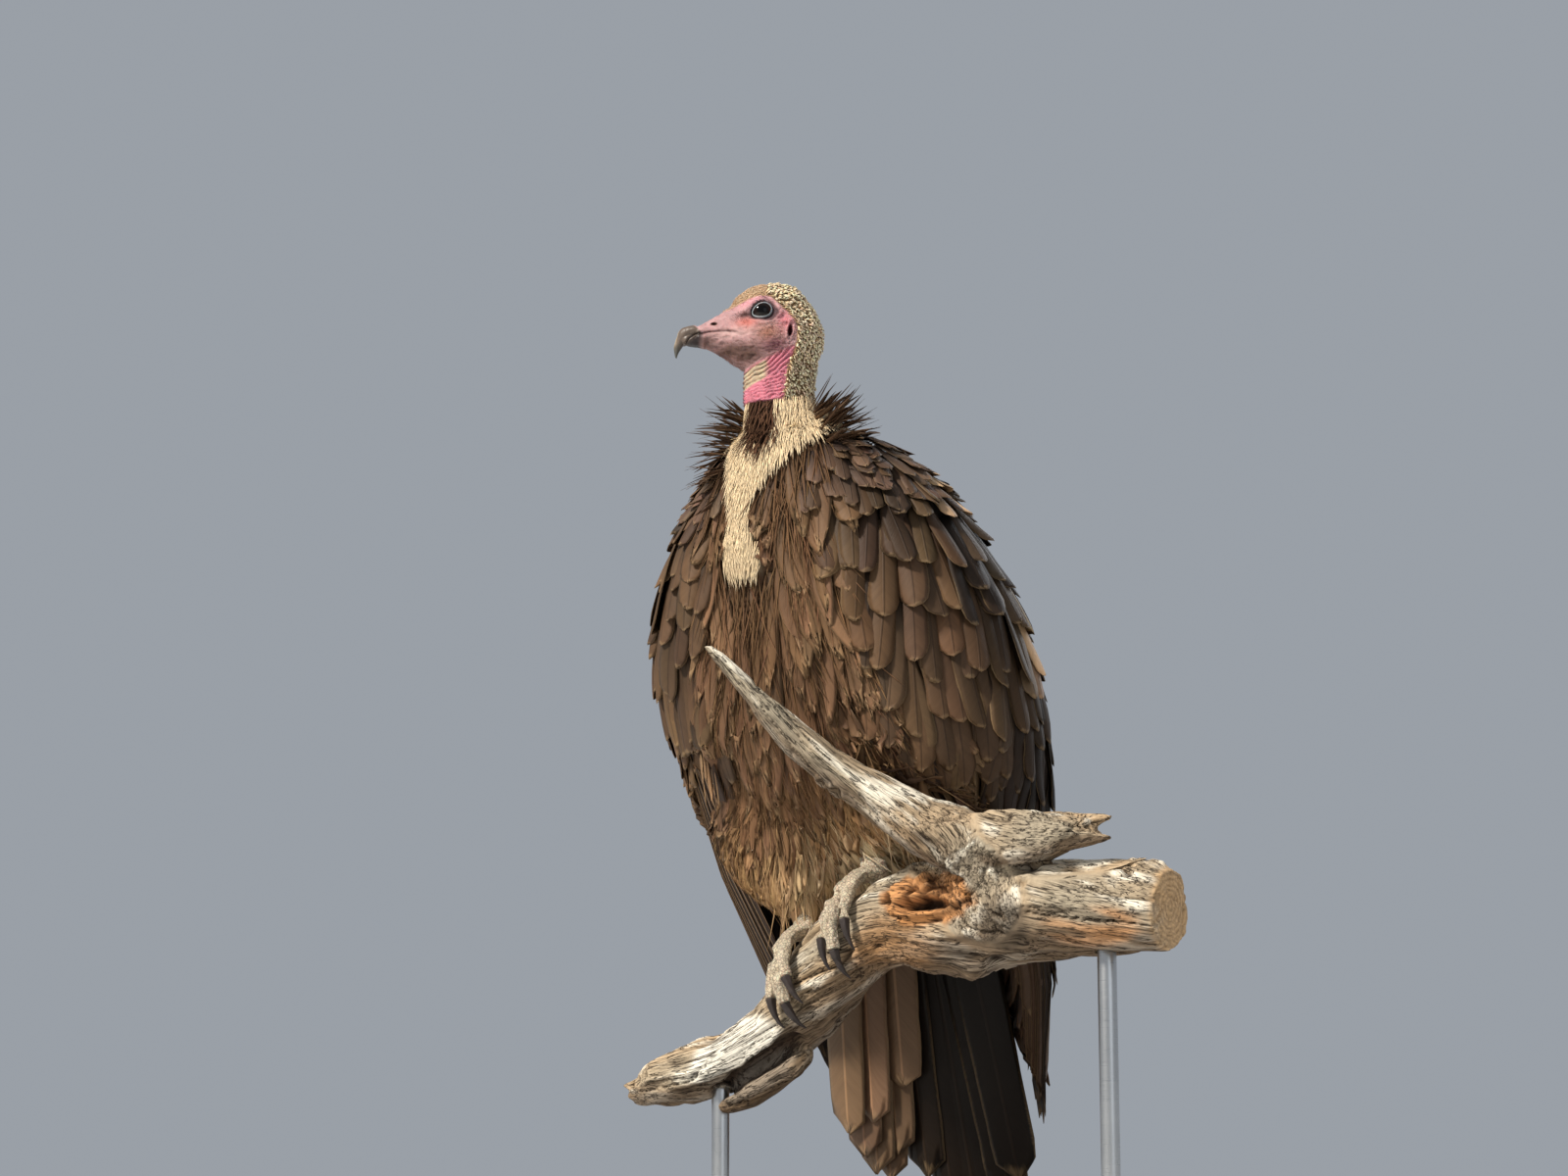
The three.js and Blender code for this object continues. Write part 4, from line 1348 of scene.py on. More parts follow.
# Each wing's lower edge, by angle from the breast: the left wing, then the right.
HEM = {1: [[21, 358], [48, 340], [60, 284], [68, 214], [77, 160], [88, 144], [104, 138],
           [113, 130], [118, 130], [125, 160], [145, 198], [180, 226]],
       -1: [[21, 384], [30, 350], [34, 308], [37, 268], [41, 236], [48, 218], [60, 208],
            [76, 206], [93, 212], [104, 214], [113, 160], [124, 184], [145, 224], [180, 252]]}


# The folded wings' outline by height: their middle x and y, half width and half depth.
FOLDED = [[618, 0, -44, 44, 42], [596, 0, -38, 72, 62], [560, 0, -28, 108, 86],
          [500, 0, -13, 139, 107], [430, 4, 2, 151, 113], [366, 14, 15, 141, 107],
          [300, 4, 50, 131, 84], [220, 0, 100, 118, 50], [150, 0, 131, 96, 26],
          [100, 0, 146, 90, 18]]


def wing_at(angles, heights):
    """Points on the outside of the folded wings, and the way they face."""
    def place(a, z):
        x, y, wide, deep = (column(FOLDED, z, i) for i in (1, 2, 3, 4))
        return np.stack([x + np.sin(a) * wide, y - np.cos(a) * deep, z], -1)

    a, z = np.radians(angles), np.asarray(heights, float)
    points = place(a, z)
    across = place(a + 0.02, z) - place(a - 0.02, z)
    down = place(a, z - 8) - place(a, z + 8)
    return points, unit(np.cross(down, across))


def hem_height(angle, side):
    return column(HEM[side], np.abs(angle))


def wing_coverts(coat, surface, side):
    rng = np.random.default_rng(31 + side)
    for row, (z, length, width) in enumerate(COVERT_ROWS):
        left, right = edges_of(BREAST, np.array([z]))
        start = float(right[0] if side > 0 else -left[0]) - 1
        step = math.degrees(width * 0.62 / column(FOLDED, z, 3))
        angles = np.arange(start + (row % 2) * step / 2, 178, step)
        angles = angles + rng.uniform(-0.12, 0.12, len(angles)) * step
        heights = z + 9 * lumps(np.stack([angles / 24, angles * 0, angles * 0], 1), 1, row)
        heights += rng.uniform(-9, 9, len(angles)) - 0.12 * (angles - start)
        room = heights - hem_height(angles, side)
        kept = room > 26
        angles, heights, room = angles[kept], heights[kept], room[kept]
        lengths = np.minimum(length * rng.uniform(0.86, 1.14, len(angles)), room + 6)
        if side < 0:
            floor = 378 - 1.6 * np.maximum(angles - 50, 0)
            lengths = np.minimum(lengths, np.maximum(heights - floor, 26))
        widths = width * rng.uniform(0.85, 1.15, len(angles))
        roots, _ = wing_at(side * angles, heights)
        patchy = 0.5 + 0.5 * lumps(roots, 38, 5) + rng.uniform(-0.35, 0.35, len(angles))
        tip = blend_colours(WING, WING_LIGHT, np.clip(patchy, 0, 1))
        # painted shade: the tips darken towards the back of the wing, which is turned from the
        # light
        tip = tip * (1 - 0.78 * ramp(60, 104, angles))[:, None]
        if side > 0:
            pale = (hump(91, 8, angles) * hump(576, 18, heights)
                    + hump(102, 7, angles) * hump(503, 16, heights))
            tip = blend_colours(tip, PALE_EDGE, np.clip(1.3 * pale, 0, 1))

        def flow(p, _):
            turn = Vector((-(p.y - 10), p.x, 0)).normalized() * side
            return DOWN + turn * 0.1

        # the roots are far darker than the tips: painted shade between the rows
        vanes(coat, surface, roots, 150 + 50 * side + row, lengths, widths, tip * 0.28,
              tip * 1.12, flow=flow, depth=4.5, lift=3.4, rise=1.5, rings=9, close=1.9,
              lanes=7, shape=covert_shape, camber=0.38, ragged=0.035, fray=2.0, bend=0.1,
              twist=0.2, thick=0.6, vary=0.2)


def flight_row(coat, side, angles, lengths, width, below, inset, shape, seed, tint):
    """Long feathers whose tips follow the wing's lower edge."""
    rng = np.random.default_rng(seed)
    count, rings = len(angles), 13
    t = ring_places(rings, 1.2)
    low = hem_height(angles, side) - below * rng.uniform(0.2, 1.0, count)
    root_angles = angles - 4 * ramp(60, 110, angles) + rng.uniform(-0.6, 0.6, count)
    grid_angle = root_angles[:, None] + (angles - root_angles)[:, None] * t[None] ** 1.3
    height = low[:, None] + np.broadcast_to(lengths, count)[:, None] * (1 - t)[None]
    spines, facing = wing_at(side * grid_angle, height)
    half = width / 2 * rng.uniform(0.88, 1.12, count)[:, None] * shape(t)[None]
    lift = -inset * np.ones((count, rings)) - 3.0 * (1 - t)[None]
    # darker at the root: painted shade where the feathers lie under others
    coat.add(spines, facing, t, half, lift, jittered(tint * 0.7, count, rng, 0.15),
             jittered(tint, count, rng, 0.15), 5, 0.12, np.full(count, 0.1 * side), 0.9,
             0.03, 2.5, seed, 0.008)


FRONT_BROWN, INNER_BROWN, OUTER_BROWN = rgb(64, 49, 39), rgb(66, 49, 36), rgb(40, 31, 26)
BACK_BROWN, EDGE_TAN = rgb(56, 42, 32), rgb(142, 112, 82)


def wing_flights(coat, side):
    """Two layers of flight feathers: inner ones at the front and back, long outer ones."""
    if side < 0:
        flight_row(coat, side, np.arange(36, 84, 5.5), 176.0, 15, 10, 0.0, primary_shape, 81,
                   FRONT_BROWN)
        flight_row(coat, side, np.arange(38, 80, 3.7), 170.0, 1.8, 14, -0.8, primary_shape,
                   83, EDGE_TAN)
        patch = np.linspace(33.0, 39.0, 7)  # pale quills over the wing's front edge
        roots, facing = wing_at(-patch, 374 + 9 * np.sin(7 * patch))
        quills(coat, roots, np.tile([0.14, 0.05, -1.0], (7, 1)), 26 + 10 * np.cos(5 * patch),
               np.full(7, 4.0), facing, np.zeros((7, 3)), *QUILL_TINTS, 85, rings=6, fray=3.0)
    for layer, inset in enumerate((1.5, 4.0)):
        seed = side + 2 * layer
        even = np.arange(27 + 2.5 * layer, 92 if side > 0 else 36, 4.8)
        flight_row(coat, side, even, 70 + 80 * ramp(30, 60, even), 19, 8, inset, flight_shape,
                   51 + seed, INNER_BROWN)
        outer = np.arange((84 if side > 0 else 66) + 1.3 * layer, 136, 2.6)
        reach = np.maximum(300 - 3.0 * np.abs(outer - 113), 170) - 30 * layer
        flight_row(coat, side, outer, reach, 12, 16 - 22 * layer, inset, primary_shape,
                   61 + seed, OUTER_BROWN)
        flight_row(coat, side, np.arange(134 + 2 * layer, 182, 4.4), 230.0, 23, 10, inset,
                   flight_shape, 71 + seed, BACK_BROWN)


# The neck's ruff: for each row the height of its roots, how far they rise and their length.
RUFF_MIDDLE = (-2.0, -74.0)
RUFF_REACH = 34.0
RUFF_ROWS = [(616, 42, 30), (607, 24, 34), (596, 8, 36), (583, -12, 36), (568, -36, 34)]


def grow_ruff(coat, surface):
    rng = np.random.default_rng(91)
    middle = Vector((*RUFF_MIDDLE, 0))
    roots, ways, lengths, droop = [], [], [], []
    for z, rise, length in RUFF_ROWS:
        turns = np.arange(42, 292, 1.9)
        for turn in turns + rng.uniform(-1.5, 1.5, len(turns)):
            if z < 590 and 100 < turn < 262:
                continue
            a = math.radians(turn)
            out = Vector((-math.sin(a), -math.cos(a), 0))
            height = z + rng.uniform(-6, 6)
            start = middle + Vector((0, 0, height))
            hit, *_ = surface.tree.ray_cast(start + out * 120, -out, 120)
            if hit is None:
                continue
            clump = np.array([[turn / 14, z / 12, 0]])
            up = math.radians(rise + 16 * lumps(clump, 1, 3)[0] + rng.normal(0, 8))
            sway = 0.3 * lumps(clump, 1, 4)[0] + rng.normal(0, 0.12)
            side = out.cross(Vector((0, 0, 1))) * sway
            way = (out * math.cos(up) + Vector((0, 0, math.sin(up))) + side).normalized()
            reach = min((hit - start).length - 4, RUFF_REACH)
            roots.append(start + out * reach)
            ways.append(way)
            lengths.append(length * rng.uniform(0.7, 1.25))
            droop.append(Vector((0, 0, rng.uniform(-9, 3))))
    roots, ways, droop = np.array(roots), np.array(ways), np.array(droop)
    facing = unit(np.cross(np.cross(ways, [0, 0, 1.0]), ways) + 1e-6)
    quills(coat, roots, ways, np.array(lengths), rng.uniform(2.4, 4.6, len(roots)), facing,
           droop, *RUFF_TINTS, 92, rings=6, fray=2.0)


# The tail: where it starts and how long it is.
TAIL_ROOT = (-4.0, 92.0, 318.0)
TAIL_LENGTH, TAIL_BROWN = 262.0, rgb(116, 90, 68)
# Its feathers: x at the root and at the tip, length, how far ahead it lies, and lightness; the
# first six are painted near-black as the shade over that half of the fan, the rest vary in tone.
TAIL = np.array([
    [-10, -14, 0.94, -2.0, 0.10], [0, 4, 1.00, 0.0, 0.07], [10, 22, 1.03, 1.5, 0.07],
    [20, 38, 1.04, 3.0, 0.07], [30, 52, 1.01, 4.5, 0.07], [39, 64, 0.95, 3.0, 0.07],
    [-14, -47, 0.95, -4.0, 0.8], [-24, -56, 0.935, -6.0, 1.0], [-33, -64, 0.88, -8.0, 0.85],
    [-42, -75, 0.81, -10.5, 1.05], [-8, -38, 0.87, -7.0, 0.9], [-3, -24, 0.68, -11.5, 0.95],
    [-24, -53, 0.78, -12.5, 1.1]])


def grow_tail(coat):
    """A closed fan: a lighter group of feathers lies ahead of the rest, which is painted dark as
    shade; the roots are painted dark as the branch's shadow.
    """
    rng = np.random.default_rng(93)
    at_root, at_tip, share, ahead, light = TAIL.T[..., None]
    count, rings = len(TAIL), 15
    t = ring_places(rings, 1.15)
    down = t[None] * share
    spines = np.empty((count, rings, 3))
    spines[..., 0] = TAIL_ROOT[0] + at_root + (at_tip - at_root) * down ** 0.7
    spines[..., 1] = TAIL_ROOT[1] + down * TAIL_LENGTH * 0.265 + ahead - 0.003 * at_root ** 2
    spines[..., 2] = TAIL_ROOT[2] - down * TAIL_LENGTH * 0.963
    normals = np.broadcast_to([0, -0.96, -0.27], spines.shape)
    half = 21.0 * flight_shape(t)[None] * np.ones((count, 1))
    # lightness paints the shaded half dark, and roots at a tenth of the tips are the branch's
    # painted shadow over the tail's upper part
    brown = TAIL_BROWN * light
    coat.add(spines, normals, t, half, np.zeros((count, rings)),
             jittered(brown * 0.1, count, rng, 0.12), jittered(brown, count, rng, 0.12), 11,
             0.12, at_tip[:, 0] * 0.0028, 1.3, 0.03, 5.0, 94, 0.03)


# ---- the head's tracts ----
def head_flow(p, _):
    """Wool and down lie backwards over the crown and down the nape."""
    q = to_head(np.array([p]) + BIRD)[0]
    back = float(ramp(-30, 10, q[2]))
    way = np.array([0.0, -1.0, -0.25]) * back + np.array([0.0, -0.25, -1.0]) * (1 - back)
    return Vector(way @ HEAD_AXES)


def bristle_flow(*_):
    """Bristles of the face point backwards and down."""
    return Vector(np.array([0.0, -0.7, -0.7]) @ HEAD_AXES)


def in_head(p):
    return to_head(p + BIRD)


def wool_zone(p, _):
    q = in_head(p)
    return (wool_depth(q) > 0.3) & (q[:, 2] > -92) & (q[:, 1] < -2 + 0.1 * q[:, 0] ** 2 / 20)


def plush_zone(p, _):
    q = in_head(p)
    return (wool_depth(q) > -0.8) & (q[:, 1] > -9) & (q[:, 1] < 34) & (q[:, 2] > -4)


def wool_edge_zone(p, _):
    q = in_head(p)
    depth = wool_depth(q)
    return (depth > -0.9) & (depth < 3.0) & (q[:, 2] > -70) & (q[:, 1] < 8)


def bristle_zone(p, _):
    q = in_head(p)
    y, z = q[:, 1], q[:, 2]
    chin = (z < -20) & (y > -12) & (y < 34)
    cheek = (y < 6) & (y > -14) & (z < -9)
    clear = (wool_depth(q) < -1) & (jaw_side(q) < 0.8) & (eye_ring(q)[0] > 1.9)
    return clear & (chin | cheek) & (np.hypot(y - EAR[0], z - EAR[1]) > 6)


def lores_zone(p, _):
    """The dark bristles of the crease between eye and bill."""
    q = in_head(p)
    crease = np.hypot((q[:, 1] - 17) / 9, (q[:, 2] + 3) / 4.5)
    return (crease < 1) & (eye_ring(q)[0] > 1.5) & (np.abs(q[:, 0]) > 4)


def collar_zone(p, _):
    """The foot of the neck, where bare skin meets the coat."""
    q = in_head(p)
    return (q[:, 2] < FUR_LINE + 1) & (q[:, 2] > -108)


STRANDS = {"lanes": 3, "shape": strand_shape, "fray": 0}  # locks of down and hairs
BRISTLES = {**STRANDS, "flow": bristle_flow, "depth": 0.1, "lift": 0.9, "rings": 4,
            "bend": 0.5, "thick": 0.12}


# ---- the bare parts of horn, and the eyes ----
def front_of(head):
    """The head's front end, cut along the slant where horn takes over from skin."""
    rim = [(y, z) for z, y in HORN_EDGE] + [(70.0, 4.0), (70.0, -32.0)]
    count = len(rim)
    corners = np.array([(x, y, z) for x in (-20.0, 20.0) for y, z in rim])
    k = np.arange(count)
    sides = np.stack([k, k + count, (k + 1) % count + count, (k + 1) % count], 1)
    fan = np.stack([np.zeros(count - 2, int), k[1:-1], k[2:]], 1)
    caps = np.concatenate([fan, fan[:, ::-1] + count])
    block = mesh_piece("block", from_head(corners), sides, caps)
    activate(block)
    with Editing():
        bpy.ops.mesh.select_all(action="SELECT")
        bpy.ops.mesh.normals_make_consistent(inside=False)
    front = new_object("front", head.data.copy())
    finish_modifier(front, "BOOLEAN", operation="INTERSECT", solver="MANIFOLD", object=block)
    bpy.data.objects.remove(block)
    return front


def tuck_front(head):
    """Draws the head's front end in, so that it stays inside the bill's base."""
    q = to_head(points_of(head))
    inside = ramp(0.8, 4.5, past_horn_edge(q))
    q[:, 0] *= 1 - 0.35 * inside
    q[:, 1] -= 2.0 * inside
    q[:, 2] += 0.3 * (BILL_MIDDLE - q[:, 2]) * inside
    place_points(head, from_head(q))


# The cutting edge of the closed bill, seen from the side: ahead and above.
TOMIUM = [(38, -12.2), (45, -12.8), (50.4, -13.4), (55, -16.7), (57.7, -20.5), (59.5, -23.5)]
HOOK_AT = 64.6  # how far ahead the hook's point lies
BILL_MIDDLE = -15.0  # the height of the bill's middle at its base


def make_bill(front):
    """The closed bill: a horn sheath over the head's front end, with its hook."""
    upper = remesh(copy_of("upper", "bill_upper"), *BILL_PART_FINE)
    lower = remesh(copy_of("lower", "bill_lower"), *BILL_PART_FINE)
    for part, ahead, raised in ((upper, 0.0, 0.0), (lower, 3.4, 2.0)):
        q = to_head(points_of(part))
        q[:, 2] += raised * ramp(-19, -15, q[:, 2])
        q[:, 1] += ahead * ramp(50, 56, q[:, 1]) - 5.0 * ramp(51, 49.6, q[:, 1])
        place_points(part, from_head(q))
    bill = join(front, upper, lower)
    bill.name = "bill"
    remesh(bill, *BILL_FINE)
    q = to_head(points_of(bill))
    normal = normals_of(bill) @ HEAD_AXES.T
    rim = ramp(1.6, 0.0, past_horn_edge(q))
    bulge = np.exp(-(((q[:, 1] - 62) / 5) ** 2) - ((q[:, 2] + 9) / 4) ** 2)
    flank = ramp(0.8, 2.5, np.abs(q[:, 0]))
    far, along = polyline_distance(q[:, 1], q[:, 2], TOMIUM)
    mouth = flank * ramp(0, 0.1, along) * (q[:, 1] < 62)
    above = q[:, 2] + 14.8 + 0.6 * (q[:, 1] - 49)
    push = 0.35 - 1.0 * rim + 1.7 * bulge
    push += mouth * (0.5 * hump(1.6, 1.2, far) * (above > 0) - 1.0 * hump(0, 0.5, far))
    push += 0.12 * lumps(q, (6, 1.2, 6), 4) * ramp(50, 54, q[:, 1])
    q = q + normal * push[:, None]
    hook = ramp(-21.5, -29.0, q[:, 2]) * (q[:, 1] > 58)
    q[:, 0] *= 1 - 0.75 * hook
    q[:, 1] += (HOOK_AT - q[:, 1]) * 0.75 * hook
    q[:, 2] -= 2.4 * hook
    colour = blend_colours(horn_colour(q), MOUTH_LINE, mouth * hump(0, 0.5, far) * 0.8)
    below = ramp(-13.5, -16, q[:, 2])
    share = horn_share(q, 0.0) * (1 - below) + ramp(-1, 6, past_horn_edge(q)) * below
    colour = blend_colours(head_colour(q), colour, share)
    place_points(bill, from_head(q))
    paint(bill, "tint", colour * (1 + 0.14 * lumps(q, (1.5, 7, 5), 4)[:, None]))
    smooth_faces(bill.data)
    return finished(bill, FINISH["horn"], "horn", "bill_upper", "bill_lower")


CLAW_BLACK = rgb(44, 36, 33)


def make_claws():
    names = [f"claw_{side}_{toe}" for side in ("left", "right")
             for toe in ("inner", "middle", "outer", "hind")]
    claws = remesh(copy_of("claws", *names), *CLAW_FINE)
    points = points_of(claws)
    streak = lumps(points, (3, 3, 3), 5)
    paint(claws, "tint", CLAW_BLACK * (1 + 0.3 * streak[:, None]))
    return finished(claws, FINISH["horn"], "horn", *names)


PUPIL, IRIS = 0.36, 0.62  # as shares of the eyeball's radius, seen from the front
EYE_DARK, EYE_BROWN, EYE_BLACK = rgb(12, 9, 8), rgb(24, 14, 10), rgb(5, 4, 4)


def make_eye(name, middle, side):
    """An eyeball with a domed cornea over a dark brown iris."""
    deselect_all()
    bpy.ops.mesh.primitive_uv_sphere_add(segments=64, ring_count=40, radius=EYE_RADIUS * MM)
    eye = bpy.context.active_object
    eye.name = name + "_ball"
    points = points_of(eye)
    # the sphere's poles are turned to look out of the head
    points = points[:, [2, 0, 1]]
    out = points[:, 0] * side / EYE_RADIUS
    reach = np.hypot(points[:, 1], points[:, 2]) / EYE_RADIUS
    points *= (1 + 0.05 * ramp(0.75, 0.2, reach) * (out > 0))[:, None]
    front = out > 0
    colour = layered(EYE_DARK, (EYE_BROWN, front * ramp(IRIS + 0.14, IRIS, reach)),
                     (EYE_BLACK, front * ramp(PUPIL + 0.05, PUPIL, reach)))
    place_points(eye, points @ HEAD_AXES + middle)
    paint(eye, "tint", colour)
    bpy.ops.object.shade_smooth()
    return finished(eye, FINISH["eye"], "eye", name)


# ---- the perch ----
def limb_line(node, axis, count):
    """The middle line of a limb, from slices across the axis it runs along."""
    limb = copy_of("limb", node)
    finish_modifier(limb, "REMESH", mode="VOXEL", voxel_size=3 * MM)
    p = points_of(limb)
    bpy.data.objects.remove(limb)
    cuts = np.linspace(p[:, axis].min(), p[:, axis].max(), count + 1)
    line = []
    for low, high in zip(cuts[:-1], cuts[1:]):
        slab = p[(p[:, axis] >= low) & (p[:, axis] <= high)]
        line.append((slab.min(0) + slab.max(0)) / 2)
    line = np.array(line)
    steps = np.linspace(0, count - 1, 3 * count)
    line = np.stack([np.interp(steps, np.arange(count), line[:, i]) for i in range(3)], 1)
    for _ in range(10):
        line[1:-1] = (line[:-2] + 2 * line[1:-1] + line[2:]) / 4
    return line


def along_limbs(points, lines):
    """Each point's place along and across its limb, and how clearly it is that limb's."""
    best = np.full(len(points), 1e9)
    second = np.full(len(points), 1e9)
    grain = np.zeros((len(points), 3))
    for number, line in enumerate(lines):
        before, best = best, np.full(len(points), 1e9)
        taken, grain = grain, np.zeros((len(points), 3))
        lengths = np.append(0, np.cumsum(np.linalg.norm(np.diff(line, axis=0), axis=1)))
        for i in range(len(line) - 1):
            a, b = line[i], line[i + 1]
            d = b - a
            t = (points - a) @ d / (d @ d)
            first, last = i == 0, i == len(line) - 2
            t = np.clip(t, -3 if first else 0, 4 if last else 1)
            offset = points - a - t[:, None] * d
            far = np.linalg.norm(offset, axis=1)
            tangent = d / np.linalg.norm(d)
            above = unit(np.array([0, 0, 1.0]) - tangent[2] * tangent)
            aside = np.cross(tangent, above)
            along = lengths[i] + t * np.linalg.norm(d)
            turn = along * 0.006
            x, y = offset @ aside, offset @ above
            twisted = np.stack([along + LIMB_APART * number,
                                x * np.cos(turn) - y * np.sin(turn),
                                x * np.sin(turn) + y * np.cos(turn)], 1)
            nearer = far < best
            best = np.where(nearer, far, best)
            grain = np.where(nearer[:, None], twisted, grain)
        second = np.minimum(second, np.maximum(best, before))
        grain = np.where((best < before)[:, None], grain, taken)
        best = np.minimum(best, before)
    return grain, ramp(0, 6, second - best)


def spot(points, place, size):
    """1 at a place, fading to 0 at its size along each axis."""
    return np.exp(-((((points - place) / size) ** 2).sum(1)))


# Marks of the dead branch, and a flank of painted shade, in the row frame: where they are and how
# far they reach.
HOLLOW = ([50, -72, 262], [24, 26, 7])
ROT = ([20, -62, 232], [40, 30, 24])  # warm brown wood below the hollow
ORANGE_RIM = ([54, -70, 266], [44, 30, 21])
ORANGE_SIDE = ([182, -70, 240], [38, 34, 14])
# painted shade on the flank right of the hollow
SHADED_FLANK = ([116, -76, 244], [22, 30, 24])
BLEACH = ([-116, -46, 156], [44, 26, 38])
# Wood that joins the limbs: its middle, half sizes and slope.
WEB = ((116, -75, 304), (50, 9, 19), 0.0)  # between the spike and the stub
LIP = ((-106, -20, 147), (43, 13, 12), -0.48)  # under the bleached face
SPLIT = [[-142, -24, 137], [-107, -34, 154], [-72, -38, 172]]
LEDGE = ([86, -44, 216], [34, 34, 16])
KNOTS = [([8, -110, 340], 5), ([-1, -113, 348], 4), ([132, -76, 272], 6)]
# Lumps and dents of the wood: where each is, how far it reaches and how high it stands.
LUMPS = [([80, -44, 208], 13, 9), ([-78, -34, 152], 9, 12), ([-140, -32, 132], 8, 10),
         ([76, -46, 206], 9, 10), ([250, -60, 226], 15, 6), ([216, -50, 288], 20, 5),
         ([-160, -16, 158], 16, 5)]
SPLINTERS = ((1, 15.0), (2, 22.0))  # the spike's and the stub's, and how far they reach
LIMBS = (("perch_branch", 0, 17), ("perch_spike", 2, 12), ("perch_stub", 0, 5))
GRAIN_COARSE, GRAIN_FINE, GRAIN_SOFT = 2.2, 1.2, 0.7  # how high the grain stands
CRACK_DEEP, SPLIT_DEEP, GAP_DEEP, HOLLOW_DEEP, CHIP_DEEP = 2.2, 4.2, 9, 13, 4.5
LEDGE_HIGH, HOLLOW_LIP, KNOT_HIGH, KNOT_DEEP = 4.0, 2.2, 2.0, 3.0
LIMB_APART = 700  # keeps the grain of one limb from running on into the next
WOOD_GREY, WOOD_TAN, WOOD_RIDGE_HIGHLIGHT = rgb(158, 145, 124), rgb(174, 148, 116), rgb(238, 228, 208)
WOOD_UNDERSIDE_SHADE, WOOD_BLEACHED, WOOD_ROTTEN = rgb(96, 76, 58), rgb(226, 219, 204), rgb(158, 118, 78)
WOOD_LIP, WOOD_ORANGE, WOOD_WARM = rgb(112, 90, 66), rgb(204, 142, 86), rgb(206, 148, 96)
WOOD_SHADED, CHIP_DARK, CRACK_DARK = rgb(92, 80, 66), rgb(72, 42, 22), rgb(48, 34, 24)
CUT_END = rgb(186, 152, 112)


def splintered(points, grain, line, number, reach):
    """Draws a broken limb's end out into splinters of uneven length."""
    heading = unit(line[-1] - line[-3])
    left = (line[-1] - points) @ heading
    mine = (grain[:, 0] >= LIMB_APART * number) & (grain[:, 0] < LIMB_APART * (number + 1))
    end = mine * ramp(20, -3, left)
    uneven = np.clip(0.45 + 0.75 * lumps(grain, (900, 6, 6), 21), 0, 1.1)
    return heading * (reach * end ** 2 * uneven)[:, None]


def join_limbs():
    """The limbs as one body of wood, with the web and the lip that the solids leave out."""
    perch = copy_of("perch", *[limb[0] for limb in LIMBS])
    for middle, size, slope in (WEB, LIP):
        deselect_all()
        bpy.ops.mesh.primitive_uv_sphere_add(segments=24, ring_count=12, radius=MM,
                                             location=Vector(middle) * MM,
                                             rotation=(0, slope, 0), scale=size)
        bpy.ops.object.transform_apply(location=True, rotation=True, scale=True)
        join(perch, bpy.context.view_layer.objects.active)
    return remesh(perch, *WOOD_FINE)


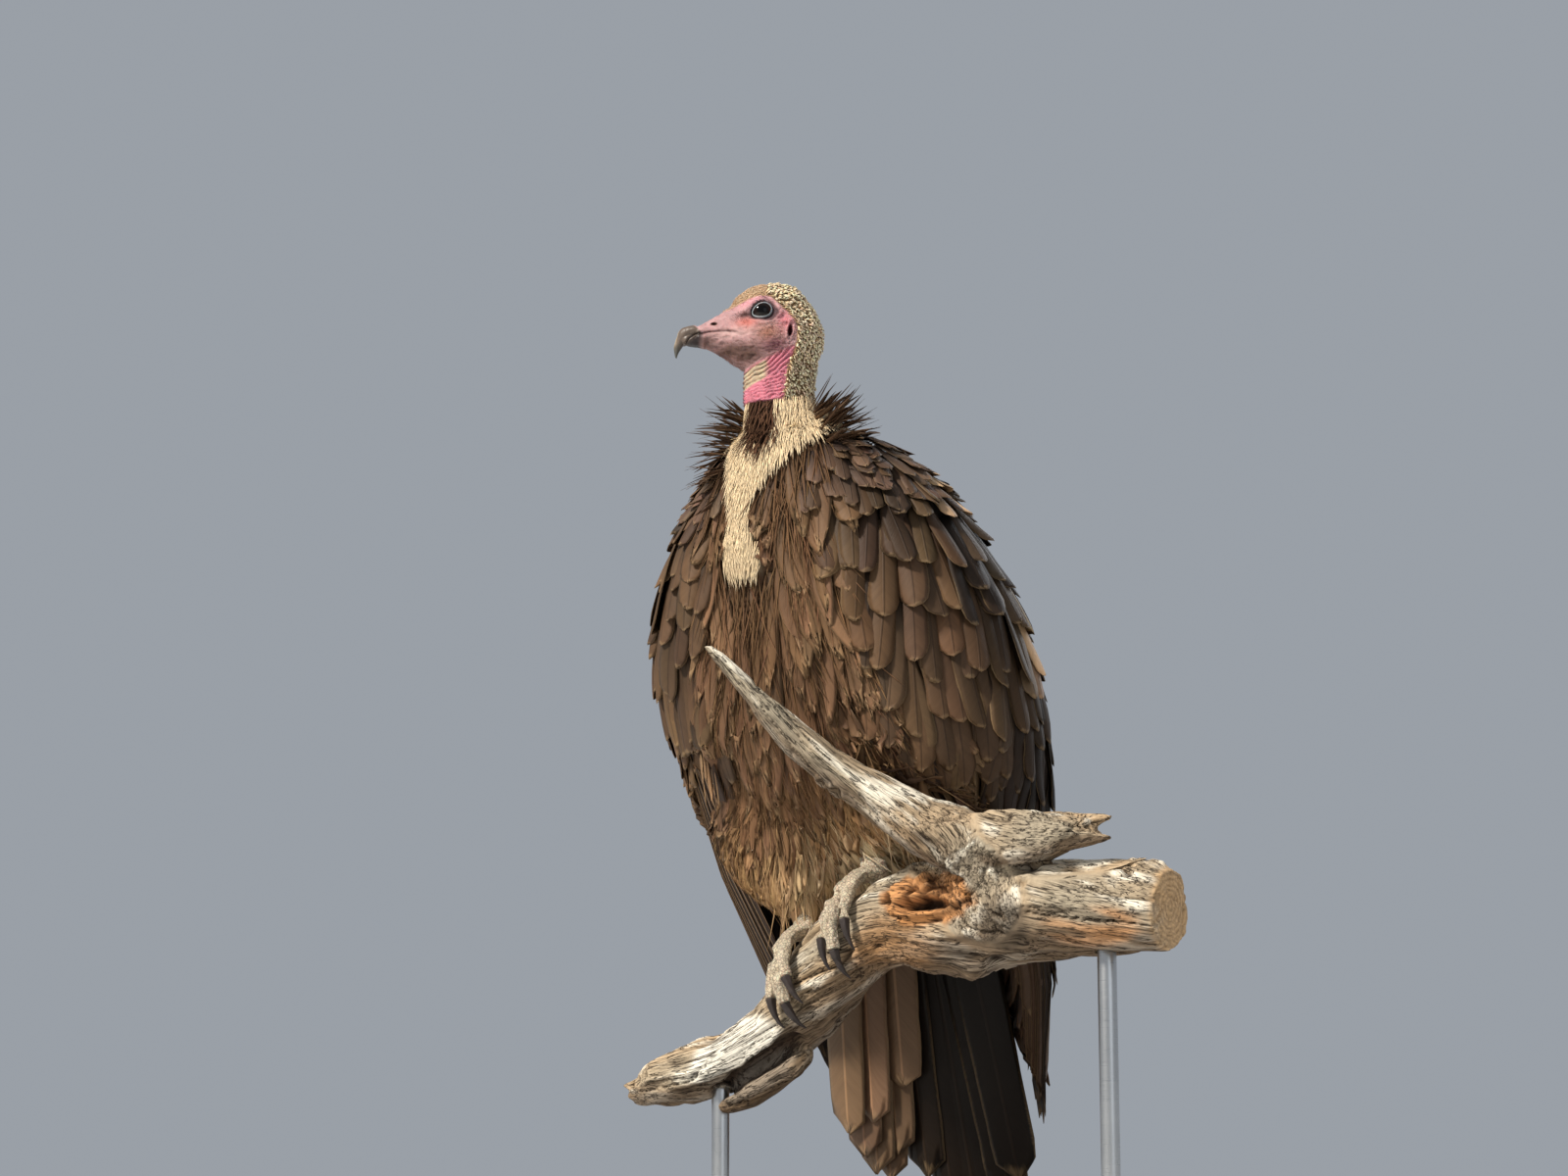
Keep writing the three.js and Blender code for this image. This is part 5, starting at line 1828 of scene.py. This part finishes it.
class Wood:
    """The dead wood's grain and marks, which both its carving and its colours follow."""

    def __init__(self, perch, lines):
        p, self.normal = points_of(perch), normals_of(perch)
        grain, clear = along_limbs(p, lines)
        wander = grain + 2.5 * lumps(grain, (40, 12, 12), 1)[:, None] * [0, 1, 1]
        self.points, self.grain, self.clear, self.wander = p, grain, clear, wander
        self.coarse = lumps(wander, (60, 11, 11), 2) * clear
        self.fine = lumps(wander, (26, 4, 4), 3) * clear
        crack = np.abs(lumps(wander, (230, 6.5, 6.5), 4))
        split = np.abs(lumps(wander, (320, 15, 15), 6))
        self.crack = (crack + 0.1 * ramp(0, 0.5, lumps(grain, 50, 14))) / clear
        self.split = (split + 0.1 * ramp(0, 0.5, lumps(grain, 90, 15))) / clear
        self.hollow = spot(p, *HOLLOW)
        self.bleach = ramp(0.25, 0.5, spot(p, *BLEACH)) * ramp(-0.8, -0.4, self.normal[:, 2])
        # the orange rim breaks off in chips
        self.rim = ramp(0.36, 0.5, spot(p, *ORANGE_RIM) + 0.1 * lumps(p, 7, 18))
        self.chip = cells(p * [1, 1, 1.5] + 3 * lumps(p, 8, 16)[:, None], 10, 17)
        # the gap under the bleached face
        start, _, end = np.array(SPLIT)
        places = [start * (1 - t) + end * t for t in np.linspace(0, 1, 25)]
        far = np.min([np.linalg.norm((p - place) * [1, 0.45, 1], axis=1)
                      for place in places], 0)
        self.under = ramp(8.5, 3.5, far + 1.5 * lumps(p, 9, 19))
        # the sawn end and the broken one
        broken, sawn = p[:, 0].min(), p[:, 0].max()
        self.sawn = ramp(sawn - 10, sawn - 2, p[:, 0])
        self.ragged = ramp(broken + 26, broken, p[:, 0])

    def carved(self, lines):
        """Its points with cracks, knots, lumps, hollow, chips and splinters cut in."""
        p, fine = self.points, self.fine
        push = GRAIN_COARSE * self.coarse + GRAIN_FINE * fine + GRAIN_SOFT * lumps(p, 13, 5)
        push -= (CRACK_DEEP * ramp(0.14, 0.0, self.crack)
                 + SPLIT_DEEP * ramp(0.07, 0.0, self.split))
        for place, size in KNOTS:
            far = np.linalg.norm((p - place) / size, axis=1)
            push += KNOT_HIGH * hump(1.15, 0.35, far) - KNOT_DEEP * ramp(0.9, 0.2, far)
        for place, size, height in LUMPS:
            push += height * spot(p, place, size) * (1 + 0.3 * fine)
        push -= (HOLLOW_DEEP * ramp(0.35, 0.8, self.hollow)
                 - HOLLOW_LIP * hump(0.3, 0.12, self.hollow))
        push += self.rim * (CHIP_DEEP * np.round(1.6 * lumps(p, (18, 12, 8), 7)) / 1.6
                            - CHIP_DEEP * ramp(0.5, 0.8, self.chip))
        push -= GAP_DEEP * self.under
        push += LEDGE_HIGH * spot(p, *LEDGE) * np.round(2.2 * lumps(p, (17, 17, 12), 8)) / 2.2
        push *= 1 - 0.55 * self.bleach
        push *= 1 - 0.7 * self.sawn
        points = p + self.normal * push[:, None]
        points[:, 0] += self.ragged * 5 * lumps(self.grain, (400, 5, 5), 9)
        for number, reach in SPLINTERS:
            points += splintered(points, self.grain, lines[number], number, reach)
        return points

    def colour(self, points):
        """Silver and tan grain, the bleach, rot, orange wood and dark cracks over it, with a
        painted highlight on the raised grain and painted shade on the underside, on one flank, in
        the hollow and in the gap under the bleached face; the cracks are partly dark wood, partly
        painted shade.
        """
        patchy = np.clip(0.5 + 0.8 * lumps(self.wander, (70, 22, 22), 11), 0, 1)
        rotten = 0.75 * ramp(0.2, 0.7, spot(points, *ROT) + 0.15 * self.fine)
        lip = ramp(0, -5, points[:, 2] - column(SPLIT, points[:, 0], 2))
        lip *= ramp(-152, -138, points[:, 0]) * ramp(-60, -74, points[:, 0])
        tone = 0.8 + 0.35 * lumps(points, (18, 12, 8), 7)[:, None]
        orange = ramp(0.25, 0.6, spot(points, *ORANGE_SIDE)) * ramp(-0.5, 0.2, self.coarse)
        # dark in the cracks and splits, partly the wood's own dark and partly painted shade, and
        # painted shade in the hollow and in the gap under the bleached face
        dark = np.clip(ramp(0.09, 0.0, self.crack) * 0.75 + ramp(0.05, 0.0, self.split)
                       + ramp(0.5, 0.8, self.hollow) + self.under, 0, 1)
        from_pith = np.hypot(self.grain[:, 1], self.grain[:, 2])
        rings = 0.85 + 0.2 * np.sin(1.6 * from_pith + lumps(points, 9, 20))
        return layered(
            WOOD_GREY, (WOOD_TAN, patchy),
            # painted highlight on the raised grain
            (WOOD_RIDGE_HIGHLIGHT, ramp(0.05, 0.6, self.coarse + 0.6 * self.fine) * 0.8),
            # painted shade on the underside
            (WOOD_UNDERSIDE_SHADE, ramp(-0.1, -0.7, self.normal[:, 2]) * 0.75),
            (WOOD_BLEACHED, np.minimum(1.6 * self.bleach, 1) * 0.9), (WOOD_ROTTEN, rotten),
            (WOOD_LIP, 0.8 * lip), (WOOD_ORANGE * tone, self.rim * 0.9),
            (WOOD_WARM, orange * 0.6),
            (WOOD_SHADED, 0.7 * ramp(0.3, 0.6, spot(points, *SHADED_FLANK))),
            (CHIP_DARK, self.rim * ramp(0.5, 0.75, self.chip) * 0.8),
            (CRACK_DARK, dark * 0.9), (CUT_END * rings[:, None], self.sawn))


def make_perch():
    lines = [limb_line(*limb) for limb in LIMBS]
    perch = join_limbs()
    wood = Wood(perch, lines)
    points = wood.carved(lines)
    place_points(perch, points)
    paint(perch, "tint", wood.colour(points))
    note(perch, "grain", wood.grain)
    note(perch, "clear", wood.clear * (1 - 0.8 * wood.sawn))
    smooth_faces(perch.data)
    return finished(perch, FINISH["wood"], "weathered_wood", "perch_branch", "perch_spike",
                    "perch_stub")


# ---- the stand ----
BASE_CORNER, BASE_BEVEL, ROD_BEVEL, COLLAR_BEVEL = 26.0, 2.5, 0.5, 2.2


def select_edges(obj, wanted):
    """In edit mode, selects the edges for which wanted(a, b) holds, in metres."""
    bpy.ops.mesh.select_mode(type="EDGE")
    bpy.ops.object.mode_set(mode="OBJECT")
    verts = obj.data.vertices
    flags = [wanted(verts[e.vertices[0]].co, verts[e.vertices[1]].co) for e in obj.data.edges]
    obj.data.vertices.foreach_set("select", [False] * len(verts))
    obj.data.polygons.foreach_set("select", [False] * len(obj.data.polygons))
    obj.data.edges.foreach_set("select", flags)
    bpy.ops.object.mode_set(mode="EDIT")


def smooth_by_angle(obj, degrees):
    activate(obj)
    bpy.ops.object.shade_smooth_by_angle(angle=math.radians(degrees))


def make_base():
    low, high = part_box("stand_base")
    size = high - low
    deselect_all()
    bpy.ops.mesh.primitive_cube_add(size=1)
    base = bpy.context.active_object
    base.name = "base"
    with Editing():
        bpy.ops.transform.resize(value=size)
        bpy.ops.transform.translate(value=(low + high) / 2)
        select_edges(base, lambda a, b: abs(a.z - b.z) > 0.001)
        bpy.ops.mesh.bevel(offset=BASE_CORNER * MM, segments=16, offset_type="OFFSET")
        select_edges(base, lambda a, b: min(a.z, b.z) > high.z - 0.0005)
        bpy.ops.mesh.bevel(offset=BASE_BEVEL * MM, segments=5, offset_type="OFFSET")
    smooth_by_angle(base, 35)
    return finished(base, plinth_finish(), "plinth", "stand_base")


def make_rod(side, steel):
    """A rod that rises from the base into the branch, and its collar, with eased edges."""
    for name, bevel in (("stand_rod_" + side, ROD_BEVEL), ("stand_collar_" + side, COLLAR_BEVEL)):
        low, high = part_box(name)
        radius = (high.x - low.x) / 2
        deselect_all()
        bpy.ops.mesh.primitive_cylinder_add(vertices=64, radius=radius, depth=high.z - low.z)
        piece = bpy.context.active_object
        piece.name = name + "_steel"
        with Editing():
            bpy.ops.transform.translate(value=(low + high) / 2)
            select_edges(piece, lambda a, b: abs(a.z - b.z) < 1e-5 and a.z > high.z - 1e-4)
            bpy.ops.mesh.bevel(offset=bevel * MM, segments=4, offset_type="OFFSET")
        smooth_by_angle(piece, 35)
        finished(piece, steel, "steel", name)


# ---- the camera, the light and the floor ----
def look_at(obj, target):
    direction = Vector(target) - obj.location
    obj.rotation_euler = direction.to_track_quat("-Z", "Y").to_euler()


# The camera: its place round what it looks at, in degrees and metres, and its lens.
AIM, DISTANCE = (-0.072, -0.052, 0.5), 2.4
AZIMUTH, ELEVATION = math.radians(32), math.radians(-11)
LENS, SENSOR = 75.6, 36
# The lights: place, size, watts and colour.
LIGHTS = {"key": ((-1.15, -2.4, 2.75), 0.5, 218, (1.0, 0.95, 0.87)),
          "fill": ((2.6, -1.4, 1.3), 2.2, 8, (0.86, 0.93, 1.0)),
          "back": ((0.4, 2.6, 2.0), 1.8, 40, (0.95, 0.97, 1.0))}
SKY, SKY_STRENGTH = (0.70, 0.76, 0.84, 1), 0.46
FLOOR_RADIUS = 7


def add_camera():
    aim = Vector(AIM)
    back = Vector((math.sin(AZIMUTH) * math.cos(ELEVATION),
                   -math.cos(AZIMUTH) * math.cos(ELEVATION), math.sin(ELEVATION)))
    data = bpy.data.cameras.new("camera")
    data.lens, data.sensor_width = LENS, SENSOR
    data.clip_start, data.clip_end = 0.05, 50
    camera = new_object("camera", data)
    camera.location = aim + back * DISTANCE
    look_at(camera, aim)
    bpy.context.scene.camera = camera


def add_light(name, place, size, watts, colour):
    data = bpy.data.lights.new(name, "AREA")
    data.shape, data.size, data.energy, data.color = "DISK", size, watts, colour
    light = new_object(name, data)
    light.location = place
    look_at(light, (-0.05, 0, 0.42))


def add_studio():
    for name, settings in LIGHTS.items():
        add_light(name, *settings)
    world = bpy.data.worlds.new("studio")
    world.use_nodes = True
    sky = world.node_tree.nodes["Background"]
    sky.inputs["Color"].default_value = SKY
    sky.inputs["Strength"].default_value = SKY_STRENGTH
    bpy.context.scene.world = world
    bpy.context.scene.view_settings.view_transform = "Standard"
    deselect_all()
    bpy.ops.mesh.primitive_circle_add(vertices=96, radius=FLOOR_RADIUS, fill_type="NGON")
    floor = bpy.context.active_object
    floor.name = "floor"
    f = Finish("floor_paint", 0.85)
    f.colour(f.mix(f.noise(f.place(), 2.0), solid(rgb(214, 214, 212)), solid(rgb(222, 222, 220))))
    floor.data.materials.append(f.material)


# ---- the coat, tract by tract ----
def grow_breast(body):
    """Broad feathers with loose streaks over them."""
    breast = Coat("breast_feathers")
    roots = body.scatter(9.5, breast_zone, 21)
    colours = breast_colour(roots, 1)
    # each feather darkens towards its root: painted shade in the gaps between feathers, with
    # their darker bases
    vanes(breast, body, roots, 21, breast_lengths(roots, 60, 94, 21), (14, 21),
          colours * 0.35, colours, depth=4.5, lift=2.0, lanes=9, rings=10, close=1.6,
          shape=breast_shape, fray=11.0, ragged=0.05, camber=0.24, vary=0.22, twist=0.2,
          bend=0.12)
    # the flank feathers too are darker at the root, as painted shade
    grow(breast, body, 9.0, flank_zone, 28, (34, 48), (11, 16), BROWN_DEEP, BROWN * 0.85,
         depth=6.0, lift=1.4, lanes=7, rings=8, close=1.6, shape=breast_shape, fray=6.0,
         ragged=0.06, vary=0.22)
    breast.make(*FEATHERED)
    streaks = Coat("breast_streaks")
    roots = body.scatter(3.6, breast_zone, 22)
    colours = breast_colour(roots, 1.15)
    # darker at the root: painted shade among the streaks
    vanes(streaks, body, roots, 22, breast_lengths(roots, 34, 62, 22), (0.8, 2.0),
          colours * 0.4, colours, **STRANDS, depth=3.0, lift=2.6, rings=6, vary=0.3, bend=0.2)
    streaks.make(*DOWNY)


def grow_crop(body):
    """Short down of the cream stripe, and the throat's dark plush."""
    cream = Coat("breast_down")
    grow(cream, body, 1.35, cream_zone, 29, (8, 15), (0.7, 1.2), CREAM_ROOT, CREAM_TIP,
         **STRANDS, depth=0.8, lift=0.5, rings=5, vary=0.05, bend=0.14, thick=0.3)
    grow(cream, body, 2.0, throat_zone, 24, (12, 20), (1.4, 2.6), *THROAT_TINTS, **STRANDS,
         depth=1.5, lift=2.4, rings=6, vary=0.2, bend=0.25)
    cream.make(*DOWNY)


def grow_legs(body):
    """Loose tufts under fine strands."""
    legs = Coat("leg_down")
    roots = body.scatter(5.5, leg_zone, 25)
    colours = leg_colour(roots, 1, 0.7)
    # darker at the root: painted shade among the tufts
    vanes(legs, body, roots, 25, (40, 72), (6, 11), colours * 0.6, colours, depth=4.0,
          lift=2.0, lanes=7, rings=8, shape=breast_shape, fray=12, vary=0.16, bend=0.16,
          loose=5.0)
    roots = body.scatter(2.8, leg_zone, 30)
    colours = leg_colour(roots, 1.15, 1)
    # darker at the root: painted shade among the strands
    vanes(legs, body, roots, 30, (30, 66), (0.7, 1.5), colours * 0.7, colours, **STRANDS,
          depth=3.0, lift=3.0, rings=6, vary=0.2, bend=0.22, loose=5.0)
    legs.make(*DOWNY)


def grow_back(body):
    """Feathers of the rump and of the mantle."""
    rump = Coat("rump_feathers")
    grow(rump, body, 8.0, rump_zone, 26, (40, 60), (12, 17), *RUMP_TINTS, depth=4.0, lift=3.0,
         lanes=5, rings=7, fray=3, vary=0.2)
    grow(rump, body, 9.0, mantle_zone, 27, (30, 42), (11, 15), *MANTLE_TINTS, depth=4.0,
         lift=3.2, lanes=7, rings=7, shape=covert_shape, fray=2, vary=0.22)
    rump.make(*FEATHERED)


def grow_head_coat(face):
    """Curled wool of the nape, plush of the crown, bristles of the face, and the collar."""
    wool = Coat("nape_wool")
    grow(wool, face, 1.3, wool_zone, 41, (2.4, 4.0), (1.2, 2.0), *WOOL_TINTS, flow=head_flow,
         depth=0.6, lift=2.4, rise=0.6, close=1.0, lanes=3, rings=6, shape=grain_shape,
         camber=0.4, fray=0, bend=0.75, thick=1.2, vary=0.32, curl=0.3, twist=0.3)
    wool.make(*WOOLLY)
    plush = Coat("head_plush")
    grow(plush, face, 0.72, plush_zone, 42, (1.8, 3.2), (0.5, 0.9), *PLUSH_TINTS, **STRANDS,
         flow=head_flow, depth=0.3, lift=0.9, rings=4, bend=0.3, thick=0.4, vary=0.12)
    grow(plush, face, 1.5, wool_edge_zone, 43, (3.0, 5.0), (0.9, 1.3), *WOOL_EDGE_TINTS,
         **STRANDS, flow=head_flow, depth=0.4, lift=2.0, rings=4, bend=0.35, thick=0.4,
         vary=0.22)
    grow(plush, face, 0.95, lores_zone, 44, (1.6, 3.0), (0.2, 0.3), *LORES_TINTS, **BRISTLES,
         vary=0.3)
    grow(plush, face, 1.2, bristle_zone, 46, (1.6, 3.2), (0.18, 0.28), *BRISTLE_TINTS,
         **BRISTLES, vary=0.25)
    roots = face.scatter(1.9, collar_zone, 45)
    colours = coat_colour(roots)
    vanes(plush, face, roots, 45, (10, 18), (1.0, 1.9), colours * 0.85, colours * 1.1,
          **STRANDS, flow=falling(0.5), depth=1.0, lift=3.2, rings=6, bend=0.25, vary=0.1)
    plush.make(*WOOLLY)


# ---- making it ----
add_camera()
add_studio()

FINISH = {
    "plumage": vane_finish("plumage", 0.22, 0.6, -0.35),
    "flights": vane_finish("flights", 0.3, 0.5, 0.5),
    "down": down_finish("down"),
    "skin": skin_finish(),
    "horn": horn_finish(),
    "eye": eye_finish(),
    "wood": wood_finish(),
}

head = sculpt_head(remesh(copy_of("head_skin", "head", "neck"), *HEAD_FINE))
front = front_of(head)
tuck_front(head)
finish_modifier(head, "DECIMATE", ratio=0.4)
face = Surface(head)
feet = remesh(copy_of("feet_skin", "foot_left", "foot_right"), *FOOT_FINE)
foot_scales(feet)
foot_tree = tree_of(feet)
skin = make_skin(head, feet)
lids = join(lid_ring(-1), lid_ring(1))
lid_tree = tree_of(lids)
join(skin, lids)
colour_skin(skin, foot_tree, lid_tree)
smooth_faces(skin.data)
finished(skin, FINISH["skin"], "bare_skin", "trunk", "neck", "head", "thigh_left", "thigh_right",
         "wing_left", "wing_right", "foot_left", "foot_right")

guide = guide_surface()
body = Surface(guide)
bpy.data.objects.remove(guide)

grow_breast(body)
grow_crop(body)
grow_legs(body)
grow_back(body)

for side, name in ((1, "left"), (-1, "right")):
    wing = Coat("wing_coverts_" + name)
    wing_coverts(wing, body, side)
    wing.make(*FEATHERED)
    wing = Coat("wing_flights_" + name)
    wing_flights(wing, side)
    wing.make(*WINGED)

ruff = Coat("ruff_feathers")
grow_ruff(ruff, body)
ruff.make(*FEATHERED, "ruff")

tail = Coat("tail_feathers")
grow_tail(tail)
tail.make("flights", *WINGED[1:], "tail")

grow_head_coat(face)
make_bill(front)
make_claws()
make_eye("eye_left", EYE_LEFT, -1)
make_eye("eye_right", EYE_RIGHT, 1)
make_perch()
make_base()
steel = steel_finish()
make_rod("left", steel)
make_rod("right", steel)
